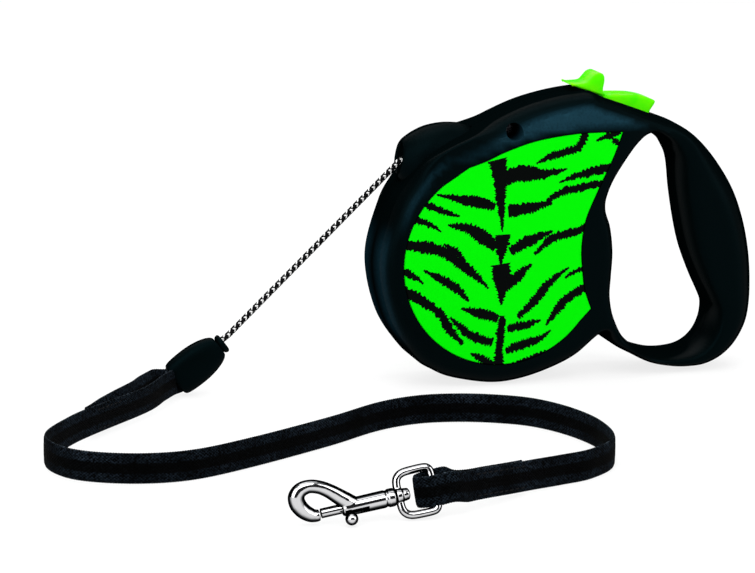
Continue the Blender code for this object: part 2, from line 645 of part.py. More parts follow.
# Pawl: a plate under the brake button with a leg that reaches down to the ratchet
leg_top = BED + ALONG * PAWL_U - REEL
leg_radius = TOOTH_TIP + PAWL_REST_GAP
across_leg = leg_top.dot(ABOVE)
pawl_tip = -across_leg + math.sqrt(across_leg ** 2 - leg_top.length_squared + leg_radius ** 2)
plate_top = -ROOF - GAP
plate_low = plate_top - PLATE
leg_y = -MECH_HALF + 2 * GAP + PAWL_SIDE
leg_room = on_bed(box("cut_leg_room",
                      (PAWL_U - PAWL_HALF - GAP, leg_y - PAWL_SIDE - GAP,
                       pawl_tip - BRAKE_TRAVEL - EPS),
                      (PAWL_U + PAWL_HALF + GAP, leg_y + PAWL_SIDE + GAP, MECH_FLOOR + EPS)))

# Leaf spring that holds the lock slide's foot
leaf_top = -LOCK_ROOF - GAP - PLATE - GAP
leaf_low = leaf_top - LEAF_THICK
leaf_pocket = on_bed(box("cut_leaf_pocket",
                         (LOCK_STEM[0] - GAP, -LEAF_HALF - GAP, leaf_low - GAP),
                         (LOCK_STEM[1] + GAP, LEAF_HALF + GAP, leaf_top + GAP)))

panel_rooms = []
for side, word in ((-1, "left"), (1, "right")):
    floor = BODY_HALF - PANEL_SINK
    panel_rooms.append(outline_solid(f"cut_panel_{word}", moved_outline(panel_points, GAP),
                                     (PANEL_SINK + EPS) / 2, side * (floor + BODY_HALF + EPS) / 2))
    face = floor + GAP
    outline_solid(f"side_panel_{word}", panel_points, PANEL_THICK / 2,
                  side * (face + PANEL_THICK / 2), PANEL_GREEN)

grip_pocket = outline_solid("cut_grip_pocket", case_points(GRIP_POCKET_SHAPE), POCKET_HALF, 0.0)

screw_rooms = []
for name, (x, z, side, recess) in SCREWS.items():
    place = on_case((x, z))
    way = ACROSS * side
    head_seat = RECESS_FLOOR + GAP
    screw_rooms.append((rod(f"cut_{name}_recess", place + way * RECESS_FLOOR,
                            place + way * (BODY_HALF + EPS), recess, 24), (side,)))
    screw_rooms.append((rod(f"cut_{name}_hole", place - way * (SCREW_REACH + GAP),
                            place + way * (RECESS_FLOOR + EPS), SCREW_RADIUS + GAP, 16), (-1, 1)))
    profile = [(0.0, head_seat + SCREW_HEAD_HEIGHT), (SCREW_HEAD, head_seat + SCREW_HEAD_HEIGHT),
               (SCREW_HEAD, head_seat), (SCREW_RADIUS, head_seat), (SCREW_RADIUS, -SCREW_REACH),
               (0.0, -SCREW_REACH)]
    turned(name, profile, place, way, 20, STEEL, closed=False)

for side, word in ((-1, "left"), (1, "right")):
    shell = rounded_plate(f"{word}_shell", [(outline, outer_edge_at, outer_drop_at),
                                            (hole, hole_edge_at, hole_drop_at)],
                          half_at, CASE_BLACK)
    low, high = sorted((side * GAP / 2, side * 0.05))
    boolean(shell, box(f"keep_{word}", (-0.2, low, -0.1), (0.2, high, 0.2)), "INTERSECT")
    common = [chamber, socket, nose_room, brake_chamber, lock_chamber, brake_slot, bed_groove,
              lock_slot, leaf_pocket, grip_pocket]
    if side < 0:
        common.append(leg_room)
    common.append(panel_rooms[0 if side < 0 else 1])
    common.extend(cutter for cutter, sides in screw_rooms if side in sides)
    for cutter in common:
        boolean(shell, cutter)

# Reel: axle, washers, toothed drum, cover, mainspring and the wound cord
axle_half = AXLE_SEAT - GAP
rod("reel_axle", REEL - ACROSS * axle_half, REEL + ACROSS * axle_half, AXLE_RADIUS, 24, STEEL)
washer_in = REEL_HALF + GAP
for side, word in ((-1, "left"), (1, "right")):
    low, high = sorted((side * washer_in, side * (BOSS_FACE - GAP)))
    ring = [(WASHER_RADIUS, high), (WASHER_RADIUS, low), (AXLE_RADIUS + GAP, low),
            (AXLE_RADIUS + GAP, high)]
    turned(f"reel_washer_{word}", ring, REEL, ACROSS, 24, NYLON)

bore = AXLE_RADIUS + 3 * GAP
cover_in = REEL_HALF - FLANGE
cup_in = CUP_RADIUS - CUP_WALL
cup_floor = -REEL_HALF + 2 * FLANGE
cup_profile = [(CUP_RADIUS, cover_in - GAP), (CUP_RADIUS, -REEL_HALF), (bore, -REEL_HALF),
               (bore, cover_in - GAP), (HUB_RADIUS, cover_in - GAP), (HUB_RADIUS, cup_floor),
               (cup_in, cup_floor), (cup_in, cover_in - GAP)]
reel_drum = turned("reel_drum", cup_profile, REEL, ACROSS, 48, NYLON)
pitch = 2 * math.pi / TOOTH_COUNT
pawl_point = bed_point(PAWL_U, pawl_tip) - REEL
first = math.atan2(pawl_point.z, pawl_point.x) - pitch * TOOTH_GAP_SHARE / 2
toothed = []
for i in range(TOOTH_COUNT):
    for share, radius in ((0.0, TOOTH_ROOT), (TOOTH_GAP_SHARE, TOOTH_ROOT),
                          (TOOTH_GAP_SHARE + TOOTH_FLANK_SHARE, TOOTH_TIP),
                          (1.0 - TOOTH_FLANK_SHARE, TOOTH_TIP)):
        angle = first + pitch * (i + share)
        toothed.append((REEL_X + radius * math.cos(angle), REEL_Z + radius * math.sin(angle)))
ratchet = outline_solid("join_ratchet", toothed, FLANGE / 2, -REEL_HALF + FLANGE / 2)
boolean(ratchet, rod("cut_ratchet", REEL - ACROSS * 0.02, REEL + ACROSS * 0.02, cup_in, 48))
boolean(reel_drum, ratchet, "UNION")
cover_ring = [(TOOTH_ROOT, REEL_HALF), (TOOTH_ROOT, cover_in), (bore, cover_in),
              (bore, REEL_HALF)]
turned("reel_cover", cover_ring, REEL, ACROSS, 48, NYLON)
winding = [(WINDING_RADIUS, cover_in - GAP), (WINDING_RADIUS, -REEL_HALF + FLANGE + GAP),
           (CUP_RADIUS + GAP, -REEL_HALF + FLANGE + GAP), (CUP_RADIUS + GAP, cover_in - GAP)]
turned("cord_winding", winding, REEL, ACROSS, 48, CORD_BLACK)

spring_in = HUB_RADIUS + 2 * GAP
spring_out = cup_in - 2 * GAP
strip = []
turns = SPRING_TURNS * 16
for edge in (0, 1):
    for i in range(turns + 1):
        k = i if edge == 0 else turns - i
        r = spring_in + (spring_out - SPRING_STRIP - spring_in) * k / turns + edge * SPRING_STRIP
        angle = 2 * math.pi * SPRING_TURNS * k / turns
        strip.append((r * math.cos(angle), r * math.sin(angle)))
spring_low = cup_floor + GAP
spring_high = cover_in - 2 * GAP
mainspring = outline_solid("mainspring", strip, (spring_high - spring_low) / 2, 0.0, STEEL)
mainspring.location = REEL + ACROSS * (spring_high + spring_low) / 2


def bed_solid(name, points, half, y, mat=None):
    """An outline in the bed's own frame, extruded across the casing and stood on the bed."""
    return on_bed_mesh(outline_solid(name, points, half, 0.0, mat), y)


def on_bed_mesh(obj, y):
    obj.matrix_world = (Matrix.Translation(BED + ACROSS * y) @ Matrix.Rotation(BED_SLOPE, 4, "Y")
                        @ Matrix.Rotation(math.pi / 2, 4, "X"))
    return obj


def coil(name, start, axis, length, radius, wire, turns, mat):
    """A compression spring from a point along an axis."""
    axis = Vector(axis).normalized()
    side = axis.orthogonal().normalized()
    other = axis.cross(side)
    count = int(turns * 12)
    points = []
    for i in range(count + 1):
        angle = 2 * math.pi * turns * i / count
        along = wire + (length - 2 * wire) * i / count
        points.append(Vector(start) + axis * along
                      + (side * math.cos(angle) + other * math.sin(angle)) * radius)
    return tube(name, points, wire, 1, mat)


# Brake button, its pawl and the spring that lifts them
crown = [tuple(p) for p in catmull(BRAKE_OUTLINE, 3)]
button = [(BRAKE_BACK, -ROOF), *reversed(crown), (BRAKE_FRONT, 0.0012), (BRAKE_FRONT, -ROOF)]
bed_solid("brake_button", button, BUTTON_HALF, 0.0, BUTTON_LIME)
pawl_plate_back = PAWL_U + PAWL_HALF + PAWL_PLATE_BACK
brake_pawl = on_bed(box("brake_pawl", (PAWL_U - PAWL_HALF, leg_y - PAWL_SIDE, plate_low),
                        (pawl_plate_back, BUTTON_HALF + PAWL_PLATE_SIDE, plate_top), NYLON))
leg_outline = [(PAWL_U - PAWL_HALF, plate_low + PLATE / 2), (PAWL_U - PAWL_HALF, pawl_tip + PAWL_TAPER),
               (PAWL_U - PAWL_TIP_HALF, pawl_tip), (PAWL_U + PAWL_TIP_HALF, pawl_tip),
               (PAWL_U + PAWL_HALF, pawl_tip + PAWL_TAPER), (PAWL_U + PAWL_HALF, plate_low + PLATE / 2)]
boolean(brake_pawl, bed_solid("join_pawl_leg", leg_outline, PAWL_SIDE, leg_y), "UNION")
brake_low = MECH_FLOOR + GAP
coil("brake_spring", bed_point(SPRING_U, brake_low, SPRING_Y), ABOVE,
     plate_low - GAP - brake_low, SPRING_RADIUS, SPRING_WIRE, 4.5, STEEL)

# Lock slide: a thumb piece with a stem through the slot and a foot under the roof
thumb = [tuple(p) for p in catmull(LOCK_OUTLINE, 3)]
lock_body = [(-GAP, GAP), *reversed(thumb), (LOCK_OUTLINE[0][0], GAP)]
lock_slide = bed_solid("lock_slide", lock_body, BUTTON_HALF, 0.0, BUTTON_LIME)
foot_top = -LOCK_ROOF - GAP
stem = on_bed(box("join_lock_stem", (LOCK_STEM[0], -STEM_HALF, foot_top - PLATE / 2),
                  (LOCK_STEM[1], STEM_HALF, STEM_JOIN)))
foot = on_bed(box("join_lock_foot", (lock_foot[0], -FOOT_HALF, foot_top - PLATE),
                  (lock_foot[1], FOOT_HALF, foot_top)))
boolean(lock_slide, stem, "UNION")
boolean(lock_slide, foot, "UNION")
on_bed(box("lock_spring", (LOCK_STEM[0], -LEAF_HALF, leaf_low),
           (LOCK_STEM[1], LEAF_HALF, leaf_top), STEEL))

# Connector: a flattened egg on the end of the cord, with a cross pin for the strap
connector_place = (Matrix.Translation((CONNECTOR_X, 0.0, CONNECTOR_Z))
                   @ Matrix.Rotation(-CONNECTOR_TILT, 4, "Y"))
connector_axis = connector_place.to_3x3() @ Vector((1.0, 0.0, 0.0))
connector_width = connector_place.to_3x3() @ Vector((0.0, 0.0, 1.0))
connector_frame = frame_empty("connector_frame", connector_place)


def on_connector(obj):
    obj.parent = connector_frame
    return obj


upper = catmull([*CONNECTOR_EGG, (CONNECTOR_LENGTH, CONNECTOR_NOSE)], 3)
egg = [*[(p[0], -p[1]) for p in upper], *[(p[0], p[1]) for p in reversed(upper)]]
connector_body = on_connector(rounded_plate(
    "connector_body", [(egg, lambda p: CONNECTOR_EDGE, lambda p: CONNECTOR_DROP)],
    lambda p: CONNECTOR_HALF, CASE_BLACK))
strap_half = STRAP_WIDTH / 2
slot_half = STRAP_THICK + PLY_GAP / 2 + PIN_RADIUS + 2 * GAP
strap_slot = on_connector(box("cut_strap_slot", (-EPS, -slot_half, -strap_half - GAP),
                              (SLOT_DEPTH, slot_half, strap_half + GAP)))
pin_half = strap_half + PIN_SEAT
pin_room = rod("cut_pin_room", (PIN_X, 0.0, -pin_half - GAP), (PIN_X, 0.0, pin_half + GAP),
               PIN_RADIUS + GAP, 16)
cord_bore = CORD_RADIUS + GAP
bore_from = CONNECTOR_LENGTH - CORD_SEAT
collar_from = CONNECTOR_LENGTH + GAP
collar_to = collar_from + COLLAR_LENGTH
cord_room = rod("cut_cord_room", (bore_from, 0.0, CORD_OFF), (collar_to + EPS, 0.0, CORD_OFF),
                cord_bore, 16)
for cutter in (strap_slot, on_connector(pin_room), on_connector(cord_room)):
    boolean(connector_body, cutter)
on_connector(rod("connector_pin", (PIN_X, 0.0, -pin_half), (PIN_X, 0.0, pin_half), PIN_RADIUS, 16,
                 STEEL))
collar_disc = [(0.0, collar_to), (COLLAR_RADIUS - LIP, collar_to), (COLLAR_RADIUS, collar_to - LIP),
               (COLLAR_RADIUS, collar_from + LIP), (COLLAR_RADIUS - LIP, collar_from),
               (0.0, collar_from)]
connector_collar = on_connector(turned("connector_collar", collar_disc, (0.0, 0.0, 0.0),
                                       (1.0, 0.0, 0.0), 32, CASE_BLACK, closed=False))
boolean(connector_collar, cord_room)

# Cord: from the winding to the eyelet, and from there to the connector
inner_end = MOUTH - NOSE_AXIS * 0.0075
feed_start = REEL + Vector((0.0, 0.0, WINDING_RADIUS + CORD_RADIUS + GAP))
feed_line = [feed_start + (inner_end - feed_start) * i / 5 for i in range(6)]
tube("feed_cord", feed_line, CORD_RADIUS, 2, CORD_BLACK)
cord_end = connector_place @ Vector((bore_from + GAP, 0.0, CORD_OFF))
leave = connector_place @ Vector((collar_to + 0.003, 0.0, CORD_OFF))
lip_pass = MOUTH + Vector((-0.0012, 0.0, -0.0026))
lead = [MOUTH - NOSE_AXIS * s for s in (0.0070, 0.0050, 0.0034)]
lead.append(MOUTH + Vector((0.0010, 0.0, -0.0006)))
lead.extend(lip_pass + (leave - lip_pass) * i / 12 for i in range(13))
lead.extend(leave + (cord_end - leave) * i / 4 for i in range(1, 5))
tube("lead_cord", catmull(lead, 2), CORD_RADIUS, 2, CORD_BLACK)

# Swivel bolt snap: eye with a swivel stem, hook, bolt with its knob, and bolt spring
hook_place = Matrix.Translation(SWIVEL) @ Matrix.Rotation(math.pi, 4, "Z") \
    @ Matrix.Rotation(HOOK_TILT, 4, "Y")
hook_frame = frame_empty("hook_frame", hook_place)
hook_out = hook_place.to_3x3() @ Vector((1.0, 0.0, 0.0))
hook_up = hook_place.to_3x3() @ Vector((0.0, 0.0, 1.0))


def on_hook(obj):
    obj.parent = hook_frame
    return obj


eye_side = strap_half + EYE_ROOM + EYE_WIRE
half_eye = [(-EYE_BAR, 0.0), (-EYE_BAR, strap_half * 0.6), (-EYE_BAR, strap_half + GAP),
            (-EYE_BAR + 0.0005, strap_half + GAP + 0.0012), (-EYE_BAR + 0.0017, eye_side),
            (-EYE_BAR * 0.62, eye_side), (-0.0046, eye_side - 0.0002),
            (-0.0026, eye_side - 0.0014), (-0.0018, eye_side - 0.0036), (-0.0018, 0.0)]
eye_loop = [(a, 0.0, b) for a, b in half_eye]
eye_loop += [(a, 0.0, -b) for a, b in reversed(half_eye[1:-1])]
swivel_eye = tube("swivel_eye", catmull(eye_loop, 2, True), EYE_WIRE, 2, CHROME, closed=True)
swivel_eye = on_hook(curve_to_mesh(swivel_eye, CHROME))
swivel_eye.rotation_euler = (EYE_LEAN, 0.0, 0.0)
socket_step = 0.0022
stem_end = 0.0036
eye_stem = [(0.0, stem_end), (STEM_HEAD, stem_end), (STEM_HEAD, socket_step + GAP),
            (STEM_RADIUS, socket_step + GAP), (STEM_RADIUS, 0.0007), (COLLAR_DISC, 0.0007),
            (COLLAR_DISC, -0.0012), (STEM_RADIUS, -0.0018), (0.0, -0.0018)]
boolean(swivel_eye, on_hook(turned("join_eye_stem", eye_stem, (0.0, 0.0, 0.0), (1.0, 0.0, 0.0),
                                   24, closed=False)), "UNION")

shank = [(0.0, SHANK_END), (SHANK_RADIUS - LIP, SHANK_END), (SHANK_RADIUS, SHANK_END - LIP),
         (SHANK_RADIUS, 0.001 + LIP), (SHANK_RADIUS - LIP, 0.001), (0.0, 0.001)]
hook_body = on_hook(turned("hook_body", shank, (0.0, 0.0, 0.0), (1.0, 0.0, 0.0), 32, CHROME,
                           closed=False))
hook_bend = tube("join_hook_bend", catmull([(a, 0.0, b) for a, b in HOOK_ROUTE], 3), HOOK_WIRE, 3,
                 CHROME)
hook_bend = curve_to_mesh(hook_bend)
boolean(hook_body, on_hook(hook_bend), "UNION")
stem_room = [(0.0, stem_end + GAP), (STEM_HEAD + GAP, stem_end + GAP),
             (STEM_HEAD + GAP, socket_step), (STEM_RADIUS + GAP, socket_step),
             (STEM_RADIUS + GAP, 0.0), (0.0, 0.0)]
boolean(hook_body, on_hook(turned("cut_stem_room", stem_room, (0.0, 0.0, 0.0), (1.0, 0.0, 0.0),
                                  24, closed=False)))
boolean(hook_body, on_hook(rod("cut_bolt_bore", (BORE_FROM, 0.0, 0.0),
                               (SHANK_END + 0.0025, 0.0, 0.0), BOLT_RADIUS + GAP, 24)))
knob_way = Vector((0.0, math.sin(KNOB_ROLL), -math.cos(KNOB_ROLL)))
knob_slot = box("cut_knob_slot",
                (KNOB_AT - BOLT_TRAVEL - KNOB_STEM - GAP, -KNOB_STEM - GAP, -SHANK_RADIUS - EPS),
                (KNOB_AT + KNOB_STEM + GAP, KNOB_STEM + GAP, 0.0))
knob_slot.rotation_euler = (KNOB_ROLL, 0.0, 0.0)
boolean(hook_body, on_hook(knob_slot))

hook_bolt = on_hook(rod("hook_bolt", (BOLT_FROM, 0.0, 0.0), (BOLT_TO, 0.0, 0.0), BOLT_RADIUS, 24,
                        CHROME))
boolean(hook_bolt, on_hook(rod("cut_knob_hole", Vector((KNOB_AT, 0.0, 0.0)),
                               Vector((KNOB_AT, 0.0, 0.0)) + knob_way * 0.003,
                               KNOB_STEM + GAP, 16)))
knob_profile = [(0.0, KNOB_REACH + KNOB_RADIUS)]
knob_neck = math.asin(KNOB_STEM / KNOB_RADIUS)
for i in range(1, 10):
    angle = (math.pi - knob_neck) * i / 9
    knob_profile.append((KNOB_RADIUS * math.sin(angle), KNOB_REACH + KNOB_RADIUS * math.cos(angle)))
knob_profile += [(KNOB_STEM, GAP), (0.0, GAP)]
on_hook(turned("bolt_knob", knob_profile, (KNOB_AT, 0.0, 0.0), knob_way, 20, CHROME, closed=False))
on_hook(coil("bolt_spring", (BORE_FROM + GAP, 0.0, 0.0), (1.0, 0.0, 0.0),
             BOLT_FROM - BORE_FROM - 2 * GAP, 0.0012, 0.00025, 3.5, STEEL))

# Strap: one ribbon of webbing on its edge, sewn back on itself round the pin and the eye's bar
pin_at = connector_place @ Vector((PIN_X, 0.0, 0.0))
slot_mouth = connector_place @ Vector((0.0, 0.0, 0.0))
bar_at = SWIVEL - hook_out * EYE_BAR
lying = [Vector((x, y, strap_half)) for x, y in STRAP_ROUTE]
lying += [Vector((x, y, strap_half + rise)) for x, y, rise in STRAP_RISE]
strap_line = catmull([pin_at, slot_mouth, *lying, bar_at - hook_out * 0.004, bar_at], 5)
lengths = [0.0]
for p, q in zip(strap_line, strap_line[1:]):
    lengths.append(lengths[-1] + (q - p).length)
strap_length = lengths[-1]


def strap_station(s):
    """Middle, heading and width direction of the strap at a distance from the pin."""
    inside = min(max(s, 0.0), strap_length)
    i = max(k for k in range(len(lengths) - 1) if lengths[k] <= inside)
    a, b = strap_line[i], strap_line[i + 1]
    spot = a.lerp(b, (inside - lengths[i]) / (lengths[i + 1] - lengths[i]))
    ahead = strap_line[min(i + 2, len(lengths) - 1)] - strap_line[max(i - 1, 0)]
    ahead.z = 0.0
    ahead.normalize()
    near_pin = 1 - ramp(s, 0.005, TWIST_LENGTH)
    near_bar = ramp(s, strap_length - 0.030, strap_length - 0.004)
    width = Vector((0.0, 0.0, 1.0)).lerp(connector_width, near_pin).lerp(hook_up, near_bar)
    width.normalize()
    heading = ahead.lerp(-connector_axis, 1 - ramp(s, 0.003, 0.010))
    heading = heading.lerp(hook_out, ramp(s, strap_length - 0.010, strap_length - 0.002))
    heading -= width * heading.dot(width)
    heading.normalize()
    return spot + heading * (s - inside), heading, width


ply = (STRAP_THICK + PLY_GAP) / 2
pin_loop = PIN_RADIUS + GAP + STRAP_THICK / 2


def gaping(s):
    """How far the layers have parted near the connector, as a share of the most."""
    return ramp(s, PIN_X, 3 * PIN_X) * (1 - ramp(s, 3 * PIN_X, PIN_LAP))


def layer_off(s):
    """Distance of a layer from the strap's middle."""
    at_bar = ramp(s, strap_length - 0.016, strap_length - 0.0015)
    return ply + PIN_GAPE * gaping(s) + (BAR_GAPE - ply) * at_bar


half_turn = [math.pi * i / 10 for i in range(11)]
near_bar = [strap_length - d for d in (0.010, 0.008, 0.006, 0.004, 0.002)]
lap_steps = [PIN_LAP + (0.005 - PIN_LAP) * i / 11 for i in range(12)]
track = [(s, -layer_off(s)) for s in lap_steps]
track += [(0.0025, -(layer_off(0.005) + pin_loop) / 2)]
track += [(-pin_loop * math.sin(a), -pin_loop * math.cos(a)) for a in half_turn]
track += [(0.0025, (layer_off(0.005) + pin_loop) / 2)]
steps = int(strap_length / 0.005)
track += [(s, layer_off(s)) for s in (0.005 + (strap_length - 0.017) * i / steps
                                      for i in range(steps + 1))]
track += [(s, layer_off(s)) for s in near_bar]
track += [(strap_length + BAR_SLACK * math.sin(a), BAR_GAPE * math.cos(a)) for a in half_turn]
track += [(s, -layer_off(s)) for s in reversed(near_bar)]
lap_steps = [strap_length - 0.012 - (BAR_LAP - 0.012) * i / 6 for i in range(7)]
track += [(s, -layer_off(s)) for s in lap_steps]

middles = []
widths = []
for s, n in track:
    spot, heading, width = strap_station(s)
    slip = math.copysign(PIN_SLIP, -n) * gaping(s)
    middles.append(spot + width.cross(heading) * n + width * slip)
    widths.append(width)
bm = bmesh.new()
sections = []
for i, (spot, width) in enumerate(zip(middles, widths)):
    along = middles[min(i + 1, len(middles) - 1)] - middles[max(i - 1, 0)]
    off = width.cross(along).normalized() * STRAP_THICK / 2
    across = width * strap_half
    sections.append([bm.verts.new(spot + a * off + b * across)
                     for a, b in ((-1, -1), (1, -1), (1, 1), (-1, 1))])
for low, high in zip(sections, sections[1:]):
    for k in range(4):
        bm.faces.new((low[k], low[(k + 1) % 4], high[(k + 1) % 4], high[k]))
bm.faces.new(sections[0])
bm.faces.new(reversed(sections[-1]))
finish_mesh("strap", bm, WEBBING)
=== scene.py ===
# %% [markdown]
# # A retractable leash, dressed for its picture
# The solid model of the leash is loaded as a fixed frame. This lesson puts the looks on it: fine
# smooth skins where the solids are plain, and a finish for every piece. The frame is never moved,
# so that every joint keeps working.

# %% Load the frame
import math

import bmesh
import bpy
import numpy as np
from mathutils import Matrix, Vector
from mathutils.geometry import delaunay_2d_cdt


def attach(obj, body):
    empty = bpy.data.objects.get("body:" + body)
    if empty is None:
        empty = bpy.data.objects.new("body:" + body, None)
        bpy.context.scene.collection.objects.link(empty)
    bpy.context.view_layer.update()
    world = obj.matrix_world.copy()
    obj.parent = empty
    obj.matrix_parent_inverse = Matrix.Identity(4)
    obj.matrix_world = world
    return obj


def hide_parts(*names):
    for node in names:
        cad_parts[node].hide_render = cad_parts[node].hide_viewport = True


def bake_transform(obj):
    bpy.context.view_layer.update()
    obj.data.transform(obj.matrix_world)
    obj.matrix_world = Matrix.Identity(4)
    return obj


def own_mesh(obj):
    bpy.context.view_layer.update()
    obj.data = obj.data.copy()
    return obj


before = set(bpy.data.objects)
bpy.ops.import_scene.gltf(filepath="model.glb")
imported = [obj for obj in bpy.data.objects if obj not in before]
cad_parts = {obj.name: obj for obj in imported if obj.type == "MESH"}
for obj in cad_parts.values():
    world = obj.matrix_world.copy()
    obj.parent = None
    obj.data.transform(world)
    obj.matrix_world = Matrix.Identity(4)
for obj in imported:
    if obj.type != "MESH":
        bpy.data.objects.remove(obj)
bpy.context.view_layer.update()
scene = bpy.context.scene
scene.view_settings.view_transform = "Standard"
MM = 0.001

# %% [markdown]
# ## The camera
# The leash was photographed from a little above and from the left of its side panel, with a long
# lens. A long lens keeps the round body round. The camera's axes are worked out from three angles,
# which is easier to adjust than a rotation typed in by hand.

# %% Camera
AZIMUTH = math.radians(-16.0)
ELEVATION = math.radians(12.5)
ROLL = math.radians(0.6)
FOCAL_PIXELS = 3180
FRAME_WIDTH = 755
SENSOR_WIDTH = 36
CAMERA_PLACE = (-0.3873, -1.1001, 0.2905)
level = Vector((math.cos(AZIMUTH), math.sin(AZIMUTH), 0))
towards = Vector((math.sin(AZIMUTH) * math.cos(ELEVATION), -math.cos(AZIMUTH) * math.cos(ELEVATION),
                  math.sin(ELEVATION)))
upright = towards.cross(level)
right = level * math.cos(ROLL) + upright * math.sin(ROLL)
up = upright * math.cos(ROLL) - level * math.sin(ROLL)
lens = bpy.data.cameras.new("portrait_camera")
lens.sensor_width = SENSOR_WIDTH
lens.lens = SENSOR_WIDTH * FOCAL_PIXELS / FRAME_WIDTH
camera = bpy.data.objects.new("portrait_camera", lens)
scene.collection.objects.link(camera)
camera.matrix_world = Matrix((right, up, towards)).transposed().to_4x4()
camera.location = CAMERA_PLACE
scene.camera = camera
print("lens", round(lens.lens, 1), "mm")

# %% [markdown]
# ## Helpers for materials
# Every finish here is a Principled shader with a little noise in it, because no moulding or metal
# is perfectly even. The noise is laid in the piece's own coordinates, so it moves with the piece.
# Short helpers keep each finish readable: one starts a material, one adds a node, one wires it.


# %% Nodes and wires
def new_finish(name, colour, roughness, metallic=0.0, specular=0.5):
    """A material and its Principled shader, with uniform values on the shader's own sockets."""
    mat = bpy.data.materials.new(name)
    mat.use_nodes = True
    shader = mat.node_tree.nodes["Principled BSDF"]
    shader.inputs["Base Color"].default_value = (*colour, 1)
    shader.inputs["Roughness"].default_value = roughness
    shader.inputs["Metallic"].default_value = metallic
    shader.inputs["Specular IOR Level"].default_value = specular
    return mat, shader


def add_node(mat, kind, **values):
    """A node of that kind, with its inputs set by name and its other settings as attributes."""
    node = mat.node_tree.nodes.new(kind)
    for key, value in values.items():
        if key in node.inputs:
            node.inputs[key].default_value = value
        else:
            setattr(node, key, value)
    return node


def wire(mat, output, target):
    mat.node_tree.links.new(output, target)


print("first helpers:", [helper.__name__ for helper in (new_finish, add_node, wire)])

# %% [markdown]
# Three more helpers stand for the nodes that are used most: a sum or product, a value that goes from
# one level to another, and a mix of two colours. Each takes plain values or other nodes' outputs.


# %% Sums, levels and mixes
def math_node(mat, operation, a, b):
    """A math node fed by sockets or plain values."""
    node = add_node(mat, "ShaderNodeMath", operation=operation)
    for socket, value in zip(node.inputs, (a, b)):
        if isinstance(value, (int, float)):
            socket.default_value = value
        else:
            wire(mat, value, socket)
    return node.outputs["Value"]


def between(mat, value, low, high, first=0.0, last=1.0, kind="SMOOTHSTEP"):
    """A value from first at low to last at high, held beyond both."""
    node = add_node(mat, "ShaderNodeMapRange", interpolation_type=kind)
    for name, number in zip(("From Min", "From Max", "To Min", "To Max"), (low, high, first, last)):
        node.inputs[name].default_value = number
    wire(mat, value, node.inputs["Value"])
    return node.outputs["Result"]


def mixed(mat, factor, first, second, blend="MIX"):
    """A mix of two colours. Each input is a plain value or a socket."""
    node = add_node(mat, "ShaderNodeMix", data_type="RGBA", blend_type=blend)
    for name, value in (("Factor", factor), ("A", first), ("B", second)):
        if isinstance(value, (int, float, tuple)):
            node.inputs[name].default_value = value
        else:
            wire(mat, value, node.inputs[name])
    return node.outputs["Result"]


print("node helpers:", [helper.__name__ for helper in (math_node, between, mixed)])

# %% [markdown]
# Three kinds of finish cover nearly the whole leash: moulded plastic with an uneven gloss, metal
# whose polish wanders, and fibre with a fine grain. The grain is a bump, since it is far smaller
# than any shape on the leash.


# %% Kinds of finish
def noise(mat, size, detail=3.0):
    """Noise with features of about that size, in metres."""
    place = add_node(mat, "ShaderNodeTexCoord")
    cloud = add_node(mat, "ShaderNodeTexNoise", Scale=1 / size, Detail=detail)
    wire(mat, place.outputs["Object"], cloud.inputs["Vector"])
    return cloud.outputs["Fac"]


def spread(mat, value, low, high):
    """Stretch noise, which mostly lies near its middle, to another range."""
    return between(mat, value, 0.25, 0.75, low, high, "LINEAR")


def grain(mat, shader, size, depth):
    """A fine moulded or woven grain as a bump of that depth, in metres."""
    bump = add_node(mat, "ShaderNodeBump", Distance=depth)
    wire(mat, noise(mat, size, 2.0), bump.inputs["Height"])
    wire(mat, bump.outputs["Normal"], shader.inputs["Normal"])


def moulded(name, colour, roughness, specular, size=0.35 * MM, depth=0.02 * MM):
    """Moulded plastic: uneven gloss and a fine grain."""
    mat, shader = new_finish(name, colour, roughness, specular=specular)
    wire(mat, spread(mat, noise(mat, 6 * MM), roughness - 0.05, roughness + 0.05),
         shader.inputs["Roughness"])
    grain(mat, shader, size, depth)
    return mat, shader


def metal(name, colour, low, high, size=2 * MM):
    """Metal whose gloss wanders between two roughness values."""
    mat, shader = new_finish(name, colour, low, metallic=1.0)
    wire(mat, spread(mat, noise(mat, size), low, high), shader.inputs["Roughness"])
    return mat


def fibre(name, colour, roughness, specular, size, depth):
    """Thread or cord: dull, with a fine grain."""
    mat, shader = new_finish(name, colour, roughness, specular=specular)
    grain(mat, shader, size, depth)
    return mat


print("kinds of finish:", [kind.__name__ for kind in (moulded, metal, fibre)])

# %% [markdown]
# ## Floor and light
# The leash stands on white studio paper. The paper's own colour is grey, so that little light
# comes back up onto the black casing, and a glow that only the camera, mirrors and glass see takes
# it up to white. Shadows stay faint that way.

# %% Floor
FLOOR_DROP = 0.15 * MM
FLOOR_REACH = 8.0
PAPER_GREY = 0.20
PAPER_GLOW = 0.80
floor_mesh = bpy.data.meshes.new("studio_floor")
corners = [(-1, -1), (1, -1), (1, 1), (-1, 1)]
floor_mesh.from_pydata([(x * FLOOR_REACH, y * FLOOR_REACH, -FLOOR_DROP) for x, y in corners], [],
                       [(0, 1, 2, 3)])
studio_floor = bpy.data.objects.new("studio_floor", floor_mesh)
scene.collection.objects.link(studio_floor)
paper, paper_shader = new_finish("studio_paper", (PAPER_GREY,) * 3, 0.9, specular=0.0)
rays = add_node(paper, "ShaderNodeLightPath")
shown = math_node(paper, "MAXIMUM", rays.outputs["Is Camera Ray"], rays.outputs["Is Glossy Ray"])
shown = math_node(paper, "MAXIMUM", shown, rays.outputs["Is Transmission Ray"])
paper_shader.inputs["Emission Color"].default_value = (1, 1, 1, 1)
wire(paper, math_node(paper, "MULTIPLY", shown, PAPER_GLOW), paper_shader.inputs["Emission Strength"])
floor_mesh.materials.append(paper)
